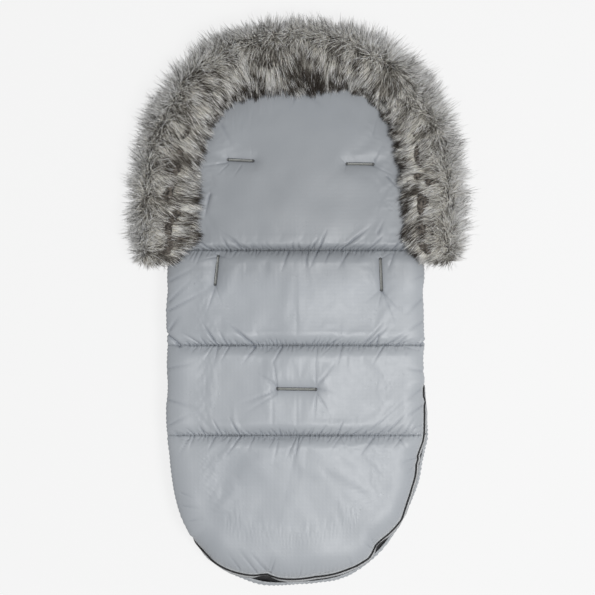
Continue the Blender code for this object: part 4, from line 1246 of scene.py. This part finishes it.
def around(points, count):
    # A smooth closed line through points: each span is a cubic that leaves along its neighbours
    t = np.arange(count) / count * len(points)
    span, part = t.astype(int), (t % 1)[:, None]
    a, b, c, d = (points[(span + step) % len(points)] for step in (-1, 0, 1, 2))
    return b + 0.5 * part * (c - a + part * (2 * a - 5 * b + 4 * c - d
                                             + part * (3 * (b - c) + d - a)))


def drawnIn(places, limit, share):
    # What lies below a limit keeps only a share of its distance to it
    return np.where(places < limit, limit + (places - limit) * share, places)


furGuide = dict(head, half=furTrim["lineHalf"], base=furTrim["endY"],
                straight=plan["headBend"] - furTrim["endY"],
                reach=furTrim["lineReach"] - plan["headBend"])
furLine, furOut, furWalked = edgeLine(furGuide, furTrim["endY"], furTrim["step"])
section = around(rollSection, 64)
furDrop = sunk(head, np.clip(furLine[:, 1] * furTrim["dropPlace"], head["base"], None))
# the flap on the hood draws in to the roll near its ends. It is narrower at the corners,
# where the hood's opening is squarer than its rim, and on the right, and wider at the top
toEnd = np.minimum(furWalked, furWalked[-1] - furWalked)
furEnd = smooth(toEnd / furTrim["endDraw"][0])[:, None]
furCorner = (2 * furOut[:, 0] * furOut[:, 1]) ** 2
furRight = smooth(furLine[:, 0] / furTrim["rightOver"])
byCorner, byRight, byBoth, byTop = furTrim["narrower"]
furNarrow = 1 - byCorner * furCorner - byRight * furRight - byBoth * furCorner * furRight
furNarrow += byTop * furOut[:, 1] ** 2 * smooth(furLine[:, 1] / furTrim["topOver"])
endShare = furTrim["endDraw"][1]
drawn = drawnIn(section[:, 0], furTrim["endFrom"], endShare + (1 - endShare) * furEnd)
drawn = drawnIn(drawn, furTrim["flapFrom"], furNarrow[:, None])
height = section[:, 1] - section[:, 2] * furDrop[:, None]
girth = np.cumsum(np.hypot(*np.diff(section[:, :2], axis=0, append=section[:1, :2]).T))
lumpHeight, lumpSize = furTrim["lumps"]
lumps = lumpHeight * softNoise(furWalked[:, None] + 0 * height, girth, lumpSize, 31)
awayUp = height - furTrim["middle"]
awaySize = np.maximum(np.hypot(drawn, awayUp), 0.01)
endOver, endHeight = furTrim["endRound"]
rounding = smooth(toEnd / endOver)[:, None] * endHeight + endHeight
drawn = drawn + lumps * drawn / awaySize * furEnd
height = furTrim["middle"] + awayUp * rounding + lumps * awayUp / awaySize * furEnd
furCore = carried("fur_roll", furLine, furOut, -drawn, np.maximum(height, furTrim["bottom"]),
                  "furBase")


def furRoots(points, walked, count):
    # Places spread evenly over the outside of the roll, by its area and the pile's density:
    # each with its outward and lengthwise direction, and how far it lies along and round
    columns = points.shape[1]
    outside = int(columns * furTrim["outside"])
    alongRow, alongColumn = np.gradient(points, axis=0), np.gradient(points, axis=1)
    normal = np.cross(alongRow, alongColumn)
    area = np.linalg.norm(normal, axis=-1)
    normal /= np.maximum(area, 1e-12)[..., None]
    away = points - points.mean(axis=1, keepdims=True)
    normal *= np.sign(np.sum(normal * away, axis=-1).mean())
    girth = np.cumsum(np.linalg.norm(alongColumn, axis=-1).mean(axis=0))
    density = np.interp(girth / girth[outside], *furTrim["density"])
    weight = (area * density * (np.arange(columns) < outside))[:-1].ravel()
    cell = random.choice(weight.size, count, p=weight / weight.sum())
    row, column = cell // columns, cell % columns
    part, share = random.random(count)[:, None], random.random(count)[:, None]
    after = (column + 1) % columns

    def between(field):
        return ((field[row, column] * (1 - part) + field[row + 1, column] * part) * (1 - share)
                + (field[row, after] * (1 - part) + field[row + 1, after] * part) * share)

    s = walked[row] + part[:, 0] * (walked[1] - walked[0])
    g = girth[column] + share[:, 0] * 0.0035
    return between(points), unit(between(normal)), between(unit(alongRow)), s, g, girth[outside]


def tuftOf(s, g):
    # Tufts: the number of the nearest of jittered middles in a grid of cells
    size, count = furTrim["clump"], len(s)
    cells = np.array([int(s.max() / size) + 4, int(g.max() / size) + 4])
    jitter = random.random((*cells, 2))
    home = np.stack([s, g], axis=-1) / size + 1
    best, tuft = np.full(count, 9.0), np.zeros(count, int)
    for di, dj in ((i, j) for i in (-1, 0, 1) for j in (-1, 0, 1)):
        near = home.astype(int) + (di, dj)
        gapTo = np.linalg.norm(near + jitter[near[:, 0], near[:, 1]] - home, axis=1)
        closer = gapTo < best
        best[closer] = gapTo[closer]
        tuft[closer] = (near[:, 0] * cells[1] + near[:, 1])[closer]
    return tuft, cells.prod()


def furPile(points, walked, count):
    # Each strand runs root + length * (t * direction + t^2 * bend), and is drawn to the
    # middle of its tuft. s runs along the roll, g round it
    root, out, lie, s, g, girth = furRoots(points, walked, count)
    place = g / girth
    # coherent tilt of the pile, both along the roll and round it
    sway = np.zeros((count, 3))
    for (share, size), seed, toward in zip(furTrim["sways"], (41, 43, 42),
                                           (lie, lie, np.cross(lie, out))):
        sway += furTrim["tilt"] * share * softNoise(s, g, size, seed)[:, None] * toward
    spread, (longSwell, shortSwell) = furTrim["crestSpread"], furTrim["crestSwells"]
    crest = furTrim["crest"] + spread * softNoise(s, 0 * s, longSwell, 44)
    crest += spread * softNoise(s, g, shortSwell, 46) + spread * random.normal(size=count)
    side = np.clip((place - crest) / furTrim["crestOver"], -1, 1)
    onTop = 1 - np.abs(side)
    # it lies outwards or inwards on both sides of the crest, and stands on it
    level = lifted(onLine(s, furWalked, furOut), 0)
    (rising, more), (start, over) = furTrim["lying"], furTrim["lowerFrom"]
    lying = level * side[:, None] + (0, 0, 1) * (rising + more * onTop)[:, None]
    lower = smooth((place - start) / over)[:, None]
    flow = lying * (1 - lower) + out * (1, 1, furTrim["flatten"]) * lower
    stray = furTrim["stray"] * (1 + furTrim["strayOnTop"] * onTop)[:, None]
    direction = flow + sway + stray * random.normal(size=(count, 3))
    endwards = np.clip(1 - np.minimum(s, walked[-1] - s) / furTrim["endReach"], 0, 1)
    # inside the crest the pile falls towards the foot, outside it a little the other way
    atEnds, inwards, outwards = furTrim["footwards"]
    direction[:, 1] -= atEnds * endwards + inwards * smooth(-side) - outwards * smooth(side)
    direction = unit(direction)
    # shorter at the ends, in the fringe, and inside at the corners and on the right
    length = random.uniform(*furTrim["length"], count) * (1 - furTrim["endShorter"] * endwards)
    length *= np.interp(place, *furTrim["lengths"])
    corner, right = np.interp(s, walked, furCorner), np.interp(s, walked, furRight)
    before, over = furTrim["fringeFrom"]
    fringe = smooth((place - crest + before) / over)
    bySide, byCorner, byRight = furTrim["fringeGain"]
    gain = bySide * np.abs(np.interp(s, walked, furOut[:, 0])) + byCorner * corner
    gain += byRight * right
    uneven, power, loss = furTrim["fringe"]
    length *= 1 + fringe * (uneven * random.random(count) ** power - loss + gain)
    top = np.interp(s, walked, furOut[:, 1]) ** 2
    (byCorner, byRight, byBoth, byTop), (end, over) = furTrim["inside"], furTrim["insideTo"]
    inner = byCorner * corner + byRight * right + byBoth * corner * right - byTop * top
    length *= 1 - inner * smooth((end - place) / over)
    bend = furTrim["curl"] * random.normal(size=(count, 3))
    bend[:, 2] -= furTrim["sag"]
    tuft, tufts = tuftOf(s, g)
    t = np.array(furTrim["steps"])[:, None]
    path = root[:, None] + length[:, None, None] * (t * direction[:, None] + t**2 * bend[:, None])
    size = np.maximum(np.bincount(tuft, minlength=tufts), 1)
    middles = np.stack([np.bincount(tuft, values, tufts) / size
                        for values in path.reshape(count, -1).T], axis=-1)
    onCrest, offCrest, power = furTrim["tuftPull"]
    pull = furTrim["gather"] * random.uniform(*furTrim["gathers"], count)
    pull = (pull * (onCrest + offCrest * np.abs(side)))[:, None, None] * t**power
    path += (middles[tuft].reshape(path.shape) - path) * pull
    ground, above = furTrim["ground"]
    path[..., 2] = np.maximum(path[..., 2], ground + above * random.random((count, 1)))
    ceiling, share = furTrim["ceiling"]
    path[..., 2] -= np.maximum(path[..., 2] - ceiling, 0) * (1 - share)
    tuftShade = random.normal(size=tufts)[tuft]
    narrow, size = furTrim["spots"]
    return path, tuftShade, place, fringe, softNoise(s, narrow * g, size, 45)


# Tones from root to tip, of the pile and of its outer fringe. Patches are in photo pixels
furLook = {
    "root": (0.200, 0.180, 0.150), "rootFringe": (0.80, 0.78, 0.74),
    "lower": (0.68, 0.65, 0.58), "lowerFringe": (0.95, 0.94, 0.90),
    "upper": (0.90, 0.88, 0.82), "upperFringe": (0.95, 0.94, 0.91),
    "tip": (0.93, 0.92, 0.89), "tipFringe": (0.95, 0.94, 0.92),
    "lowerDark": 0.62, "upperDark": (0.075, 0.062, 0.050), "tipDark": (0.014, 0.011, 0.010),
    "darkShare": ((0, 0.08, 0.20, 0.34, 0.42), (0.74, 0.56, 0.42, 0.30, 0.22)),
    "darkPatches": ((272, 46), (299, 60), (172, 150), (231, 30), (196, 210), (318, 74)),
    "patchSize": 0.016, "spotShare": 0.40, "fringeClears": 0.85, "tuftShare": 0.34,
    "tuftClears": 0.6, "patchShare": 0.8, "tuftTone": 0.10, "strandTone": 0.34,
}


def furColours(path, tuftShade, place, fringe, spots):
    # Dark root, pale middle, and on some tufts a nearly black end; the outer fringe is pale
    count = len(path)
    share = np.interp(place, *furLook["darkShare"]) + furLook["spotShare"] * spots
    share = share * (1 - furLook["fringeClears"] * fringe)
    patch = sum(hill(np.hypot(*(path[:, 0, :2] - fromPhoto(x, y)).T), furLook["patchSize"])
                for x, y in furLook["darkPatches"])
    share = share + furLook["tuftShare"] * tuftShade * (1 - furLook["tuftClears"] * fringe)
    dark = random.random(count) < share + furLook["patchShare"] * patch
    tone = furLook["strandTone"] * random.normal(size=count)
    tone = (1 - furLook["tuftTone"] * tuftShade + tone)[:, None]
    dark, fringe = dark[:, None], fringe[:, None]
    root, lower, upper, tip = (
        np.array(furLook[part]) * (1 - fringe) + np.array(furLook[part + "Fringe"]) * fringe
        for part in ("root", "lower", "upper", "tip"))
    lower = np.where(dark, lower * furLook["lowerDark"], lower) * tone
    upper = np.where(dark, furLook["upperDark"], upper * tone)
    tip = np.where(dark, furLook["tipDark"], tip * tone)
    return np.clip(np.stack([root, lower, upper, tip], axis=1), 0.004, 0.95)


def strandMesh(name, path, colours):
    # Three-sided tapering strands: rings at the first three points, then the tip
    count = len(path)
    ahead = unit(path[:, 3] - path[:, 0])
    side = unit(np.cross(ahead, random.normal(size=(count, 3))))
    angle = np.arange(3)[:, None] * 2 * np.pi / 3
    ring = side[:, None] * np.cos(angle) + np.cross(ahead, side)[:, None] * np.sin(angle)
    radius = furTrim["rootWidth"] / 2 * np.array(furTrim["widths"])
    body = path[:, :3, None] + ring[:, None] * radius[:, None, None]
    points = np.concatenate([body.reshape(count, 9, 3), path[:, 3:]], axis=1)
    first = np.arange(count)[:, None] * 10
    quads = [first + [3 * i + j, 3 * i + (j + 1) % 3, 3 * i + 3 + (j + 1) % 3, 3 * i + 3 + j]
             for i in (0, 1) for j in range(3)]
    tips = [first + [6 + j, 6 + (j + 1) % 3, 9] for j in range(3)] + [first + [2, 1, 0]]
    piece = makePiece(name, points, [np.concatenate(quads), np.concatenate(tips)], "fur")
    tone = np.concatenate([np.repeat(colours[:, :3], 3, axis=1), colours[:, 3:]], axis=1)
    tone = np.concatenate([tone, np.ones((count, 10, 1))], axis=-1)
    shade = piece.data.color_attributes.new("fibreColour", "FLOAT_COLOR", "POINT")
    shade.data.foreach_set("color", tone.astype(np.float32).ravel())
    return piece


corePoints = meshPoints(furCore.data).reshape(len(furLine), -1, 3)
path, *coat = furPile(corePoints, furWalked, furTrim["strands"])
colours = furColours(path, *coat)
group = (np.argsort(np.argsort(path[:, 0, 0])) * furTrim["groups"]) // len(path)
declare(furCore, "head_section", "fur", "fur_trim")
for number in range(furTrim["groups"]):
    chosen = group == number
    declare(strandMesh("fur_pile_" + str(number + 1), path[chosen], colours[chosen]),
            "head_section", "fur")
print("fur made,", len(path), "strands")

stage = {"size": 12, "floor": (0.90, 0.90, 0.90), "white": 0.94, "share": 0.88, "world": 0.31,
         "distance": eye - seenHeight, "covers": 1.041, "sensor": 36}


def cameraRay(tree):
    return addNode(tree, "LightPath").outputs["Is Camera Ray"]


# The camera sees the floor partly as white paper, which lightens the shadow on it
floorMaterial, floorTree, floorShader = newMaterial("pale_floor")
setInputs(floorTree, floorShader, {"Base Color": (*stage["floor"], 1), "Roughness": 0.9,
                                   "Specular IOR Level": 0.1})
white = addNode(floorTree, "Emission", {"Color": (*[stage["white"]] * 3, 1)})
paper = addNode(floorTree, "MixShader", {
    0: multiplied(floorTree, cameraRay(floorTree), stage["share"]), 1: floorShader.outputs[0],
    2: white.outputs[0]})
setInputs(floorTree, floorTree.nodes["Material Output"], {"Surface": paper.outputs[0]})
bpy.ops.mesh.primitive_plane_add(size=stage["size"])
floor = bpy.context.object
floor.name = "floor"
floor.data.materials.append(floorMaterial)

world = bpy.data.worlds.new("studio")
bpy.context.scene.world = world
world.use_nodes = True
sky = world.node_tree
setInputs(sky, sky.nodes["Background"], {
    "Strength": remap(sky, cameraRay(sky), 0, 1, stage["world"], 1.0), "Color": (1, 1, 1, 1)})


def addLamp(name, place, size, power):
    # A square soft box that faces the middle of the object
    lamp = bpy.data.lights.new(name, "AREA")
    lamp.size, lamp.energy = size, power
    holder = bpy.data.objects.new(name, lamp)
    holder.location = place
    holder.rotation_euler = Vector(place).to_track_quat("Z", "Y").to_euler()
    bpy.context.scene.collection.objects.link(holder)


addLamp("soft_box_over", (0.62, -0.5, 2.5), 0.75, 41)
addLamp("soft_box_side", (1.9, 0.6, 0.9), 0.7, 2.5)

lens = bpy.data.cameras.new("camera")
lens.sensor_width = stage["sensor"]
lens.lens = stage["sensor"] * stage["distance"] / stage["covers"]
camera = bpy.data.objects.new("camera", lens)
camera.location = (0, 0, eye)
bpy.context.scene.collection.objects.link(camera)
bpy.context.scene.camera = camera
bpy.context.scene.view_settings.view_transform = "Standard"
